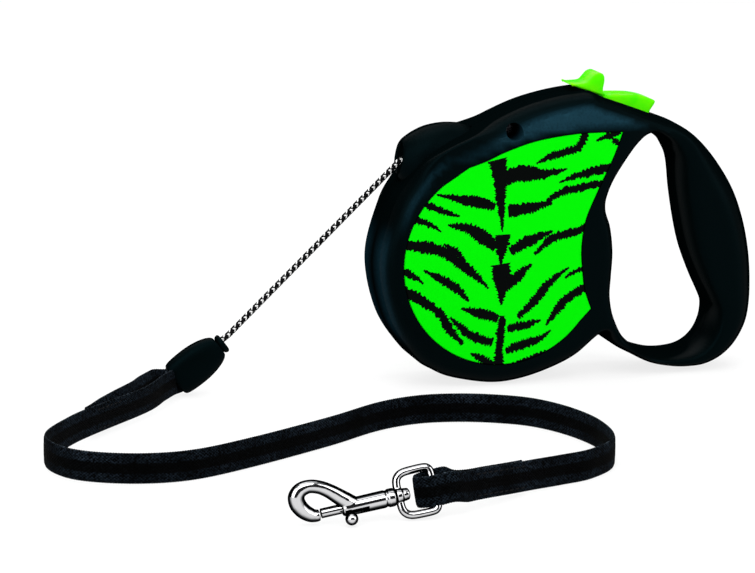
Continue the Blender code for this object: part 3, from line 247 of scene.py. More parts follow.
print("floor at", -FLOOR_DROP, "m")

# %% [markdown]
# Chrome is a mirror, so it looks like what stands round it. The sky here is dark up to a high band
# and bright overhead, which gives chrome its dark and light stripes, and black plastic its depth.

# %% Sky
SKY_DARK_TO = 0.66
SKY_LIGHT_FROM = 0.80
sky = bpy.data.worlds.new("studio_sky")
sky.use_nodes = True
scene.world = sky
nodes, links = sky.node_tree.nodes, sky.node_tree.links
way = nodes.new("ShaderNodeTexCoord")
parts = nodes.new("ShaderNodeSeparateXYZ")
bands = nodes.new("ShaderNodeValToRGB")
links.new(way.outputs["Generated"], parts.inputs["Vector"])
links.new(parts.outputs["Z"], bands.inputs["Fac"])
links.new(bands.outputs["Color"], nodes["Background"].inputs["Color"])
for element, height, colour in zip(bands.color_ramp.elements, (SKY_DARK_TO, SKY_LIGHT_FROM),
                                   ((0.02, 0.02, 0.022, 1), (0.50, 0.51, 0.52, 1))):
    element.position = height
    element.color = colour
print("sky brightens from", SKY_DARK_TO, "to", SKY_LIGHT_FROM)

# %% [markdown]
# Five soft boxes stand round the leash. Large lamps make broad soft lights on the round casing and
# hardly any shadow, as in a catalogue picture.

# %% Soft boxes
MIDDLE = Vector((-0.05, -0.06, 0.05))
BOXES = {"left_box": ((-1.20, -0.85, 0.60), 1.0, 1.2, 11.5),
         "right_box": ((1.05, -0.95, 0.60), 1.0, 1.2, 11.5),
         "front_box": ((-0.29, -0.95, 1.12), 1.3, 0.78, 10.5),
         "top_box": ((-0.05, 0.05, 1.40), 1.3, 0.78, 9.5),
         "back_box": ((-0.05, 1.10, 1.00), 1.4, 0.78, 9.5)}
for name, (place, width, height, watts) in BOXES.items():
    data = bpy.data.lights.new(name, "AREA")
    data.shape = "RECTANGLE"
    data.size, data.size_y = width, height
    data.energy = watts
    lamp = bpy.data.objects.new(name, data)
    scene.collection.objects.link(lamp)
    lamp.location = place
    lamp.rotation_euler = (MIDDLE - Vector(place)).to_track_quat("-Z", "Y").to_euler()
print("lamps:", list(BOXES))

# %% [markdown]
# ## Smooth lines and tubes
# Cord, strap and hook all follow lines. A Catmull-Rom curve passes through every point that is
# typed in, so a line can be drawn from a few measured places. Frames that are carried along the
# line, rather than worked out anew at each point, keep a tube from twisting.


# %% Lines and frames
def smooth_line(points, steps, closed=False):
    """Points along a curve that passes through the given ones."""
    pts = np.array([tuple(p) for p in points], float)
    count = len(pts)
    t = np.linspace(0, 1, steps, endpoint=False)[:, None]
    out = []
    for i in range(count if closed else count - 1):
        ids = [i - 1, i, i + 1, i + 2]
        ids = [k % count for k in ids] if closed else [min(max(k, 0), count - 1) for k in ids]
        a, b, c, d = pts[ids]
        out.append(0.5 * (2 * b + (c - a) * t + (2 * a - 5 * b + 4 * c - d) * t ** 2
                          + (3 * b - a - 3 * c + d) * t ** 3))
    if not closed:
        out.append(pts[-1:])
    return np.concatenate(out)


def even_line(points, step):
    """The same line with points about that far apart, and their distances from its start."""
    pts = np.array(points, float)
    run = np.concatenate([[0], np.cumsum(np.linalg.norm(np.diff(pts, axis=0), axis=1))])
    count = max(int(round(run[-1] / step)), 2)
    s = np.linspace(0, run[-1], count + 1)
    return np.stack([np.interp(s, run, pts[:, k]) for k in range(3)], axis=1), s


def unit(v):
    return v / np.linalg.norm(v, axis=-1, keepdims=True)


def carried_frames(line, first, closed=False):
    """Heading and two cross directions at every point of a line."""
    if closed:
        heading = unit(np.roll(line, -1, axis=0) - np.roll(line, 1, axis=0))
    else:
        heading = unit(np.gradient(line, axis=0))
    side = np.zeros_like(line)
    carry = np.array(first, float)
    for i, h in enumerate(heading):
        carry = unit(carry - h * carry.dot(h))
        side[i] = carry
    return heading, side, np.cross(heading, side)


print("a line through 3 points:", len(smooth_line([(0, 0, 0), (1, 0, 0), (1, 1, 0)], 4)), "points")

# %% [markdown]
# A skin is laid over rings of points, one ring after the other, like the hoops of a barrel. A tube
# and a turned shape only differ in how their rings are placed, so both use the same loft.


# %% Skins over rings
def add_piece(name, verts, faces, *finishes, smooth=40):
    """A mesh object in the row frame, shaded smooth up to that angle between faces."""
    mesh = bpy.data.meshes.new(name)
    mesh.from_pydata([tuple(v) for v in verts], [], faces)
    mesh.validate()
    for mat in finishes:
        mesh.materials.append(mat)
    mesh.shade_smooth()
    mesh.set_sharp_from_angle(angle=math.radians(smooth))
    obj = bpy.data.objects.new(name, mesh)
    scene.collection.objects.link(obj)
    return obj


def loft(rings, closed=False, capped=True, offset=0):
    """Vertices and faces of a skin over rings of equal length."""
    rings = np.array(rings, float)
    count, size = rings.shape[:2]
    faces = []
    for i in range(count if closed else count - 1):
        a, b = i * size, ((i + 1) % count) * size
        for k in range(size):
            j = (k + 1) % size
            faces.append((offset + a + k, offset + a + j, offset + b + j, offset + b + k))
    if capped and not closed:
        faces.append(tuple(offset + k for k in reversed(range(size))))
        faces.append(tuple(offset + (count - 1) * size + k for k in range(size)))
    return rings.reshape(-1, 3), faces


print("a capped loft of 2 triangles:", len(loft(np.zeros((2, 3, 3)))[1]), "faces")

# %% [markdown]
# Tubes carry a circle along a line. Turned shapes, as from a lathe, carry a profile round an axis.
# When a piece is made, it is seated: it rides on a body of the frame in the place of a solid.


# %% Tubes, turned shapes and seats
def circle(sides):
    angles = np.linspace(0, 2 * math.pi, sides, endpoint=False)
    return np.cos(angles), np.sin(angles)


def tube_rings(line, radius, sides, first=(0, 1, 0), closed=False, flat=1.0):
    """Rings of a tube along a line. flat is its thickness along the first direction."""
    _, side, other = carried_frames(line, first, closed)
    c, s = circle(sides)
    radius = np.broadcast_to(np.array(radius, float), len(line))[:, None, None]
    return (line[:, None] + radius * (c[None, :, None] * side[:, None] * flat
                                      + s[None, :, None] * other[:, None]))


def turned_rings(profile, sides):
    """Rings of a profile of (along, radius) points in millimetres, turned about the X axis."""
    c, s = circle(sides)
    return [[(x * MM, r * MM * k, r * MM * m) for k, m in zip(c, s)] for x, r in profile]


def placed(rings, place):
    """Rings moved by a matrix."""
    turn, shift = np.array(place.to_3x3()), np.array(place.translation)
    return np.array(rings, float) @ turn.T + shift


def seat(piece, body, node):
    """Let a piece ride on a body in the place of a solid, and hide that solid."""
    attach(piece, body)
    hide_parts(node)


print("a capped loft of 2 squares:", len(loft(turned_rings([(0, 1), (1, 1)], 4))[1]), "faces")

# %% [markdown]
# ## The cord
# The lead is a braid of sixteen nylon strands, eight running each way round, and a quarter of them
# are white. Where they lie on top they make a row of light arrowheads. Drawing the braid as a picture
# would look flat, so each strand is a real thread here that rises over two others and dips under the
# next two.

# %% Line of the cord
MOUTH = np.array((-64.3, 0, 84.6)) * MM
NOSE_TILT = math.radians(8)
NOSE_OUT = np.array((-math.cos(NOSE_TILT), 0, math.sin(NOSE_TILT)))
CONNECTOR_TILT = math.radians(36)
CORD_OFF = 1.2 * MM
CORD_LEAVES = 25.3 * MM
CORD_ENDS = 14.1 * MM
CORD_STEP = 0.16 * MM
connector_place = (Matrix.Translation((-148.0 * MM, 0, 5.8 * MM))
                   @ Matrix.Rotation(-CONNECTOR_TILT, 4, "Y"))
lip_pass = MOUTH + np.array((-1.2, 0, -2.6)) * MM
leaves = np.array(connector_place @ Vector((CORD_LEAVES, 0, CORD_OFF)))
ends = np.array(connector_place @ Vector((CORD_ENDS, 0, CORD_OFF)))
cord_points = [MOUTH - NOSE_OUT * s * MM for s in (7.0, 5.0, 3.4)]
cord_points.append(MOUTH + np.array((1.0, 0, -0.6)) * MM)
cord_points += [lip_pass + (leaves - lip_pass) * i / 12 for i in range(13)]
cord_points += [leaves + (ends - leaves) * i / 4 for i in range(1, 5)]
cord_line, cord_run = even_line(smooth_line(cord_points, 6), CORD_STEP)
print("cord from its eyelet to the connector:", round(cord_run[-1] * 1000, 1), "mm")

# %% [markdown]
# Each strand follows a screw line round a thin core. A cosine lifts it over two crossing strands and
# lowers it under the next two, and the two hands are half a step apart, so that one is up where the
# other is down. Every fourth strand is white.

# %% Braided lead
STRANDS = 8
WHITE_EVERY = 4
BRAID_LEAD = 5.8 * MM
CORE_RADIUS = 0.66 * MM
LAYER = 0.85 * MM
WAVE = 0.13 * MM
STRAND_HALF = 0.28 * MM
STRAND_THICK = 0.17 * MM
_, cord_side, cord_other = carried_frames(cord_line, towards)
verts, faces = loft(tube_rings(cord_line[::6], CORE_RADIUS, 10))
verts, faces, light = [verts], list(faces), [0] * len(faces)
made = len(verts[0])
c, s = circle(6)
passed = 2 * STRANDS * cord_run / BRAID_LEAD
for hand in (-1, 1):
    turn = hand * 2 * math.pi * cord_run / BRAID_LEAD
    for k in range(STRANDS):
        angle = (turn + 2 * math.pi * k / STRANDS)[:, None]
        out = np.cos(angle) * cord_side + np.sin(angle) * cord_other
        over = np.cos(math.pi / 2 * (2 * k + hand * passed - (0.5 if hand > 0 else 2.5)))
        thread = cord_line + out * (LAYER + WAVE * over)[:, None]
        wide = unit(np.cross(unit(np.gradient(thread, axis=0)), out))
        rings = (thread[:, None] + c[None, :, None] * STRAND_HALF * wide[:, None]
                 + s[None, :, None] * STRAND_THICK * out[:, None])
        more, skin = loft(rings, offset=made)
        verts.append(more)
        faces += skin
        light += [int(k % WHITE_EVERY == 0)] * len(skin)
        made += len(more)
cord_black = fibre("cord_black", (0.0025, 0.0025, 0.003), 0.7, 0.05, 0.12 * MM, 0.02 * MM)
cord_white = fibre("cord_white", (0.90, 0.90, 0.89), 0.7, 0.1, 0.12 * MM, 0.02 * MM)
braided_lead = add_piece("braided_lead", np.concatenate(verts), faces, cord_black, cord_white, smooth=80)
braided_lead.data.polygons.foreach_set("material_index", light)
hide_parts("lead_cord")
print("braid faces:", len(faces))

# %% [markdown]
# ## Solid shapes and cuts
# Several pieces are plates with round edges: the shells and the buttons. They are made from an
# outline. Rings step inwards and outwards over the round edge, and a grid of triangles fills the
# face, which lets the face swell and thin without creases.


# %% Filled outlines
def inside(points, outlines):
    """Which points are inside an area bounded by closed outlines."""
    odd = np.zeros(len(points), bool)
    x, z = points[:, 0], points[:, 1]
    for line in outlines:
        a, b = line, np.roll(line, -1, axis=0)
        for (ax, az), (bx, bz) in zip(a, b):
            if az != bz:
                hit = ((az > z) != (bz > z)) & (x < (bx - ax) * (z - az) / (bz - az) + ax)
                odd ^= hit
    return odd


def triangulated(lines, more, tolerance):
    """Triangles through the points of closed lines and then some more, kept along the lines."""
    edges, start = [], 0
    for line in lines:
        edges += [(start + i, start + (i + 1) % len(line)) for i in range(len(line))]
        start += len(line)
    points = np.concatenate([*lines, more])
    found = delaunay_2d_cdt([Vector(p) for p in points], edges, [], 0, tolerance)
    return np.array([tuple(v) for v in found[0]]), np.array(found[2])


def fill(outlines, spacing):
    """Triangles over an area, with a grid of points inside it. The outlines' points come first."""
    edge_points = np.concatenate(outlines)
    low, high = edge_points.min(0), edge_points.max(0)
    row = np.arange(low[0], high[0], spacing)
    column = np.arange(low[1], high[1], spacing)
    grid = np.array([(x, z) for x in row for z in column])
    grid = grid[inside(grid, outlines)]
    gaps = np.min(np.linalg.norm(grid[:, None] - edge_points[None], axis=2), axis=1)
    spots, triangles = triangulated(outlines, grid[gaps > spacing * 0.6], 1e-9)
    keep = inside(spots[triangles].mean(axis=1), outlines)
    return spots, triangles[keep]


unit_square = np.array([(0, 0), (1, 0), (1, 1), (0, 1)], float)
print("triangles over a square:", len(fill([unit_square], 0.3)[1]))

# %% [markdown]
# Round edges need the direction straight out of an outline. The faces of a finished mesh are turned
# outwards too, because a Boolean trusts them to tell inside from outside.


# %% Outward directions
def outward(line):
    """Unit normals of an outline that keeps the material on its left."""
    along = np.roll(line, -1, axis=0) - np.roll(line, 1, axis=0)
    return unit(np.stack([along[:, 1], -along[:, 0]], axis=1))


def face_outwards(obj, weld=None):
    """Turn all faces outwards, and first join points that are closer than weld."""
    bm = bmesh.new()
    bm.from_mesh(obj.data)
    if weld:
        bmesh.ops.remove_doubles(bm, verts=bm.verts, dist=weld)
    bmesh.ops.recalc_face_normals(bm, faces=bm.faces)
    bm.to_mesh(obj.data)
    bm.free()
    return obj


print("normals of a square:", outward(unit_square).round(2).tolist())

# %% [markdown]
# Here is the plate itself. For each outline it lays rings from one face round the edge to the other,
# and then fills both faces up to the innermost rings.


# %% Plates with round edges
def plate(name, outlines, half_at, spacing, steps, *finishes):
    """A plate in the XZ plane with round edges.

    Each outline comes with the width and the depth of its round edge at each of its points.
    half_at gives half of the thickness at points of the plane.
    """
    verts, faces, inner = [], [], {-1: [], 1: []}
    made = 0
    angles = np.linspace(math.pi / 2, 0, steps)
    starts = {-1: [], 1: []}
    for line, width, depth in outlines:
        rings = []
        normal = outward(line)
        half = half_at(line)
        for side in (-1, 1):
            for angle in (angles if side < 0 else angles[::-1]):
                spot = line - normal * (width * (1 - math.cos(angle)))[:, None]
                y = side * (half - depth + depth * math.sin(angle))
                rings.append(np.stack([spot[:, 0], y, spot[:, 1]], axis=1))
        more, skin = loft(rings, capped=False, offset=made)
        verts.append(more)
        faces += skin
        count = len(line)
        for side, at, ring in ((-1, 0, rings[0]), (1, len(rings) - 1, rings[-1])):
            starts[side] += list(range(made + at * count, made + (at + 1) * count))
            inner[side].append(ring[:, [0, 2]])
        made += len(more)
    for side in (-1, 1):
        spots, triangles = fill(inner[side], spacing)
        fixed = len(starts[side])
        extra = spots[fixed:]
        verts.append(np.stack([extra[:, 0], side * half_at(extra), extra[:, 1]], axis=1))
        ids = np.concatenate([starts[side], np.arange(made, made + len(extra))]).astype(int)
        faces += [tuple(int(ids[k]) for k in tri) for tri in triangles]
        made += len(extra)
    return face_outwards(add_piece(name, np.concatenate(verts), faces, *finishes))


print("plates are made by:", plate.__name__)

# %% [markdown]
# Slots, recesses and hollows are cut with a Boolean. Each cutter is a closed shape, which is thrown
# away after the cut.


# %% Cutters and cuts
def cutter(name, verts, faces):
    """A closed shape with its faces outwards."""
    return face_outwards(add_piece(name, verts, faces))


def prism(name, line, low, high):
    """A cutter with an outline in the XZ plane, between two Y values."""
    line = np.array(line, float)
    rings = [np.stack([line[:, 0], np.full(len(line), y), line[:, 1]], axis=1) for y in (low, high)]
    return cutter(name, *loft(rings))


def cut(obj, *tools, operation="DIFFERENCE"):
    """Take the tools' shapes out of an object, or add them, or keep only what is inside them."""
    for tool in tools:
        mod = obj.modifiers.new(tool.name, "BOOLEAN")
        mod.operation = operation
        mod.object = tool
        mod.solver = "MANIFOLD"
    settle(obj)
    return obj


def settle(obj, smooth=35):
    """Apply an object's modifiers."""
    graph = bpy.context.evaluated_depsgraph_get()
    mesh = bpy.data.meshes.new_from_object(obj.evaluated_get(graph))
    obj.modifiers.clear()
    old = obj.data
    obj.data = mesh
    bpy.data.meshes.remove(old)
    mesh.shade_smooth()
    mesh.set_sharp_from_angle(angle=math.radians(smooth))
    return obj


def discard(*tools):
    for tool in tools:
        bpy.data.objects.remove(tool, do_unlink=True)


print("ways to cut:", [tool.__name__ for tool in (prism, cut)])

# %% [markdown]
# ## Black plastic
# The casing, the hood and the connector are moulded in one black plastic with a cold shine. Its
# shine fades where the surface turns away from the viewer. A plain gloss would mirror the white
# floor there and draw a pale rim round every piece.

# %% Black plastic
casing_black, casing_shader = moulded("casing_black", (0.0005, 0.0018, 0.0020), 0.40, 0.02)
casing_shader.inputs["Specular Tint"].default_value = (0.25, 0.80, 1.0, 1)
facing = add_node(casing_black, "ShaderNodeLayerWeight", Blend=0.5)
gloss = between(casing_black, facing.outputs["Facing"], 0.25, 0.62, 0.022, 0.0, "LINEAR")
wire(casing_black, gloss, casing_shader.inputs["Specular IOR Level"])
print("finish:", casing_black.name)

# %% [markdown]
# ## The connector
# A black moulded egg joins cord and strap. It is flat like a pebble, open at the wide end for the
# strap, and it ends in a small round disc at the cord. Sections between an ellipse and a rectangle
# give it its soft flat sides.

# %% Egg of the connector
EGG = [(-0.3, 5.5), (0.1, 6.2), (0.8, 6.65), (2.5, 7.0), (6, 7.2), (10, 7.15), (14, 6.6), (17, 5.75),
       (18.9, 4.8), (19.8, 3.9), (20.04, 3.1)]
EGG_SIDES = 56
EGG_HALF = 4.3 * MM
EGG_LIP = 4 * MM
EGG_POWER = 2 / 2.6
angles = np.linspace(0, 2 * math.pi, EGG_SIDES, endpoint=False)
egg_rings = []
for along, wide in smooth_line(EGG, 5) * MM:
    thick = EGG_HALF * min(1.0, 0.80 + 0.20 * math.sqrt(max(0.0, min(along, EGG_LIP)) / EGG_LIP))
    thick *= 1 - 0.40 * max(0.0, (along - 11 * MM) / (10 * MM)) ** 1.6
    y = thick * np.sign(np.sin(angles)) * np.abs(np.sin(angles)) ** EGG_POWER
    z = wide * np.sign(np.cos(angles)) * np.abs(np.cos(angles)) ** EGG_POWER
    egg_rings.append(np.stack([np.full(EGG_SIDES, along), y, z], axis=1))
connector_egg = cutter("connector_egg", *loft(egg_rings))
connector_egg.data.materials.append(casing_black)
print("egg rings:", len(egg_rings))

# %% [markdown]
# The strap needs a slot and the cord a bore. Both are cut with tools that are a little larger than
# what goes through them. The disc is a turned profile, bored with the same tool, and both pieces
# are then laid in the place of the connector.


# %% Slot, bore and disc of the connector
def rectangle(x_low, z_low, x_high, z_high):
    """Corners of a rectangle in the XZ plane."""
    return [(x_low, z_low), (x_high, z_low), (x_high, z_high), (x_low, z_high)]


SLOT_HALF = 2.6 * MM
SLOT_DEEP = 7.8 * MM
STRAP_HALF = 5.25 * MM
SLOT_EDGE = STRAP_HALF + 0.3 * MM
BORE_RADIUS = 1.45
DISC = [(20.1, 0.01), (20.1, 2.7), (20.3, 3.1), (20.7, 3.5), (21.2, 3.7), (21.7, 3.7), (22.1, 3.45),
        (22.3, 3.0), (22.3, 0.01)]
slot_tool = prism("slot_tool", rectangle(-2 * MM, -SLOT_EDGE, SLOT_DEEP, SLOT_EDGE), -SLOT_HALF, SLOT_HALF)
bore_tool = cutter("bore_tool", *loft(turned_rings([(13.8, BORE_RADIUS), (24, BORE_RADIUS)], 24)))
bore_tool.data.transform(Matrix.Translation((0, 0, CORD_OFF)))
cut(connector_egg, slot_tool, bore_tool)
connector_ring = cutter("connector_ring", *loft(turned_rings(DISC, 48)))
connector_ring.data.materials.append(casing_black)
cut(connector_ring, bore_tool)
discard(slot_tool, bore_tool)
for piece, node in ((connector_egg, "connector_body"), (connector_ring, "connector_collar")):
    piece.data.transform(connector_place)
    seat(piece, "connector", node)
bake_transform(braided_lead)
print("connector faces:", len(connector_egg.data.polygons))

# %% [markdown]
# ## The strap
# A short ribbon of nylon webbing runs on its edge along the floor, from the connector in a loose S
# to the snap. Its ends go round a pin and a bar and are sewn back on themselves. The ribbon is
# built as one skin that follows the whole way out, along and back, so the two layers of the ends
# are real layers. Its edges are scalloped where the weft turns round.

# %% Way of the strap
SWIVEL = Vector((-113.3, -170.0, 7.6)) * MM
HOOK_TILT = math.radians(9)
EYE_BAR = 13.6 * MM
hook_place = (Matrix.Translation(SWIVEL) @ Matrix.Rotation(math.pi, 4, "Z")
              @ Matrix.Rotation(HOOK_TILT, 4, "Y"))
hook_out = np.array(hook_place.to_3x3() @ Vector((1, 0, 0)))
hook_up = np.array(hook_place.to_3x3() @ Vector((0, 0, 1)))
bar_at = np.array(SWIVEL) - hook_out * EYE_BAR
PIN_ALONG = 3.8 * MM
pin_at = np.array(connector_place @ Vector((PIN_ALONG, 0, 0)))
connector_out = np.array(connector_place.to_3x3() @ Vector((1, 0, 0)))
connector_up = np.array(connector_place.to_3x3() @ Vector((0, 0, 1)))
LYING = [(-151.8, -1.2), (-158.3, -10.0), (-166.5, -23.4), (-185.2, -45.5), (-199.8, -63.5),
         (-211.7, -84.5), (-206.8, -103.0), (-189.8, -111.8), (-168.3, -112.0), (-145.9, -102.3),
         (-111.6, -81.6), (-90.1, -66.4), (-74.4, -60.4), (-60.6, -60.8), (-47.5, -65.3),
         (-35.8, -73.5), (-27.3, -88.4), (-23.3, -107.0), (-25.8, -127.5), (-37.8, -140.0)]
RISING = [(-50.3, -145.2, 0.1), (-61.5, -150.4, 0.7), (-72.2, -156.3, 1.5), (-81.3, -162.0, 2.5),
          (-90.6, -167.2, 3.3)]
lying = [np.array((x, y, 0)) * MM + (0, 0, STRAP_HALF) for x, y in LYING]
lying += [np.array((x, y, z)) * MM + (0, 0, STRAP_HALF) for x, y, z in RISING]
strap_line, strap_run = even_line(smooth_line(
    [pin_at, np.array(connector_place.translation), *lying, bar_at - hook_out * 4 * MM, bar_at], 10),
    1 * MM)
STRAP_LENGTH = strap_run[-1]
print("strap from pin to bar:", round(STRAP_LENGTH * 1000, 1), "mm")

# %% [markdown]
# The ribbon stands on its edge on the floor, but near the connector it leans with the connector's
# slot, and near the snap with the snap's eye. It also lifts a little in the first bend. Smooth ramps
# lead from one to the other, in distances from the pin or from the bar.


# %% Lean and turn of the strap
def ramp(value, low, high):
    """0 below low, 1 above high, and smooth between them."""
    t = np.clip((value - low) / (high - low), 0.0, 1.0)
    return t * t * (3 - 2 * t)


def near_bar(s, far, near):
    """0 further than far from the snap's bar, and 1 nearer than near."""
    return ramp(s, STRAP_LENGTH - far, STRAP_LENGTH - near)


STANDS_UP = (5 * MM, 110 * MM)
TURNS_AWAY = (3 * MM, 10 * MM)
BEND_LIFT = 1.2 * MM
LIFTS = (15 * MM, 85 * MM)
SINKS = (112 * MM, 175 * MM)
BAR_LEAN = (30 * MM, 4 * MM)
BAR_TURN = (10 * MM, 2 * MM)


def strap_at(s):
    """Middle, heading and width direction of the strap at a distance from the pin."""
    within = min(max(s, 0.0), STRAP_LENGTH)
    spot = np.array([np.interp(within, strap_run, strap_line[:, k]) for k in range(3)])
    i = int(np.clip(np.searchsorted(strap_run, within), 2, len(strap_run) - 3))
    ahead = strap_line[i + 2] - strap_line[i - 2]
    ahead[2] = 0.0
    ahead = unit(ahead)
    pin_share = 1 - ramp(s, *STANDS_UP)
    bar_share = near_bar(s, *BAR_LEAN)
    wide = np.array((0, 0, 1.0)) * (1 - pin_share) + connector_up * pin_share
    wide = unit(wide * (1 - bar_share) + hook_up * bar_share)
    turn = 1 - ramp(s, *TURNS_AWAY)
    heading = ahead * (1 - turn) - connector_out * turn
    turn = near_bar(s, *BAR_TURN)
    heading = heading * (1 - turn) + hook_out * turn
    heading = unit(heading - wide * heading.dot(wide))
    spot[2] += BEND_LIFT * ramp(s, *LIFTS) * (1 - ramp(s, *SINKS))
    return spot + heading * (s - within), heading, wide


print("the strap's middle is", round(strap_at(STRAP_LENGTH / 2)[0][2] * 1000, 2), "mm up half-way")

# %% [markdown]
# At the connector the sewn-back end lies behind the front layer. The two part where they leave the
# pin: the rear one rises and is tucked in again at its end, and the front one rolls over a little.
# Both are places of one ribbon, worked out from how far a layer lies off the strap's middle.

# %% Layers of the strap
THICK = 1.1 * MM
PLY = 0.75 * MM
PIN_LAP = 70 * MM
PIN_GAPE = 0.9 * MM
LOOP_OPENS = (3.8 * MM, 11.4 * MM)
FREED = (3.8 * MM, 9 * MM)
SLIP_BACK = 1.9 * MM
BACK_SETTLES = (30 * MM, 74 * MM)
TUCK = 0.5 * MM
TUCK_OVER = 14 * MM
SLIP_FRONT = -0.5 * MM
FRONT_SETTLES = (12 * MM, 74 * MM)
FRONT_ROLL = math.radians(29)
ROLL_SETTLES = (18 * MM, 105 * MM)
BAR_GAPE = 3.2 * MM
BAR_OPENS = (16 * MM, 1.5 * MM)


def gaping(s):
    """How far the layers have parted near the connector, as a share of the most."""
    return ramp(s, *LOOP_OPENS) * (1 - ramp(s, LOOP_OPENS[1], PIN_LAP))


def layer_off(s):
    """Distance of a layer from the strap's middle."""
    return PLY + PIN_GAPE * gaping(s) + (BAR_GAPE - PLY) * near_bar(s, *BAR_OPENS)


def layer_place(s, n):
    """Middle, heading and width direction of a layer, n off the strap's middle at a distance s."""
    spot, heading, wide = strap_at(s)
    normal = np.cross(wide, heading)
    freed = ramp(s, *FREED)
    middle = spot + normal * n
    if n < 0:
        tucked = TUCK * ramp(s, PIN_LAP - TUCK_OVER, PIN_LAP) * (s < 2 * PIN_LAP)
        risen = SLIP_BACK * freed * (1 - ramp(s, *BACK_SETTLES))
        return middle + wide * (risen - tucked), heading, wide
    roll = FRONT_ROLL * freed * (1 - ramp(s, *ROLL_SETTLES))
    rolled = wide * math.cos(roll) + normal * math.sin(roll)
    middle = middle + (rolled - wide) * STRAP_HALF
    return middle + wide * SLIP_FRONT * freed * (1 - ramp(s, *FRONT_SETTLES)), heading, rolled


print("layers part by", round(2 * layer_off(LOOP_OPENS[1]) * 1000, 2), "mm at the connector")

# %% [markdown]
# The ribbon's track runs from the sewn end at the connector round the pin, along the floor, round
# the bar and back. A flat section with thin edges is swept along it. Each pick of the weave pulls
# the edge in a little, which gives the scallops.

# %% Ribbon
PICK = 0.9 * MM
BAR_LAP = 40 * MM
PIN_LOOP = 1.55 * MM
LOOP_STARTS = 3.0 * MM
BAR_SLACK = 7.6 * MM
ACROSS = 13
half_turn = [math.pi * i / 32 for i in range(33)]
track = [(s, -layer_off(s)) for s in np.arange(PIN_LAP, LOOP_STARTS, -PICK / 2)]
track += [(-PIN_LOOP * math.sin(a), -PIN_LOOP * math.cos(a)) for a in half_turn]
track += [(s, layer_off(s)) for s in np.arange(LOOP_STARTS, STRAP_LENGTH, PICK / 2)]
track += [(STRAP_LENGTH + BAR_SLACK * math.sin(a), BAR_GAPE * math.cos(a)) for a in half_turn]
track += [(s, -layer_off(s)) for s in np.arange(STRAP_LENGTH, STRAP_LENGTH - BAR_LAP, -PICK / 2)]
middles, wides = [], []
for s, n in track:
    spot, heading, wide = layer_place(s, n)
    middles.append(spot)
    wides.append(wide)
steps = np.linalg.norm(np.diff(middles, axis=0), axis=1)
ribbon_run = np.concatenate([[0], np.cumsum(steps)])
middles, strap_s = even_line(np.array(middles), PICK / 2)
wides = unit(np.stack([np.interp(strap_s, ribbon_run, np.array(wides)[:, k]) for k in range(3)], axis=1))
for _ in range(4):
    middles[1:-1] = (middles[:-2] + 2 * middles[1:-1] + middles[2:]) / 4
off = unit(np.cross(wides, np.gradient(middles, axis=0)))
across = np.concatenate([np.linspace(-1, 1, ACROSS), np.linspace(1, -1, ACROSS)])
face_side = np.repeat([-1.0, 1.0], ACROSS)
swell = (1 - 0.72 * np.abs(across) ** 10) + 0.10 * (np.abs(across) < 0.36)
pick_wave = np.cos(math.pi * np.arange(len(middles)))
edge = np.abs(across) > 0.95
width = STRAP_HALF * (1 - 0.012 * (1 + pick_wave[:, None] * edge[None]))
rings = (middles[:, None] + (across[None] * width)[..., None] * wides[:, None]
         + (face_side * swell * THICK / 2)[None, :, None] * off[:, None])
strap_verts, strap_faces = loft(rings)
strap_place = np.stack([np.repeat(strap_s, 2 * ACROSS), np.tile(across * STRAP_HALF, len(middles)),
                        np.zeros(2 * ACROSS * len(middles))], axis=1)
print("strap skin:", len(strap_faces), "faces, ribbon", round(strap_s[-1] * 1000), "mm long")

# %% [markdown]
# Two rows of thread hold each sewn end. A stitch shows as a short bead of thread that dives into
# the webbing at both ends, so each one is a small lens-shaped bead.

# %% Stitches
STITCH = 2.0 * MM
STITCH_PITCH = 2.7 * MM
STITCH_RADIUS = 0.24 * MM
STITCH_RISE = 0.05 * MM
STITCH_ROW = 3.6 * MM
BEAD = [(-0.5, 0.02), (-0.42, 0.65), (-0.2, 1.0), (0.2, 1.0), (0.42, 0.65), (0.5, 0.02)]
skins = [strap_verts]
made = len(strap_verts)
is_thread = [0] * len(strap_faces)
rows = [*np.arange(STRAP_LENGTH - 38 * MM, STRAP_LENGTH - 16 * MM, STITCH_PITCH),
        *np.arange(54 * MM, 68 * MM, STITCH_PITCH)]
around = np.linspace(0, 2 * math.pi, 8, endpoint=False)
for s in rows:
    for side in (-1, 1):
        spot, heading, wide = layer_place(s, side * layer_off(s))
        normal = np.cross(wide, heading)
        for row in (-STITCH_ROW, STITCH_ROW):
            centre = spot + normal * side * (THICK / 2 + STITCH_RISE) + wide * row
            rings = [[centre + heading * x * STITCH
                      + (wide * math.cos(a) + normal * math.sin(a)) * r * STITCH_RADIUS for a in around]
                     for x, r in BEAD]
            more, skin = loft(rings, offset=made)
            skins.append(more)
            strap_faces += skin
            is_thread += [1] * len(skin)
            made += len(more)
print("stitches:", len(skins) - 1)

# %% [markdown]
# The webbing's tones run along the ribbon, so its material reads the place on the ribbon from an
# attribute: the distance along it and across it. A darker band runs down the middle, the edges get a
# painted highlight where the weft turns round, and pale flecks come in patches.


# %% Webbing finish
def wave(mat, value, length):
    """A sine along a place on the ribbon."""
    return math_node(mat, "SINE", math_node(mat, "MULTIPLY", value, 2 * math.pi / length), 0.0)


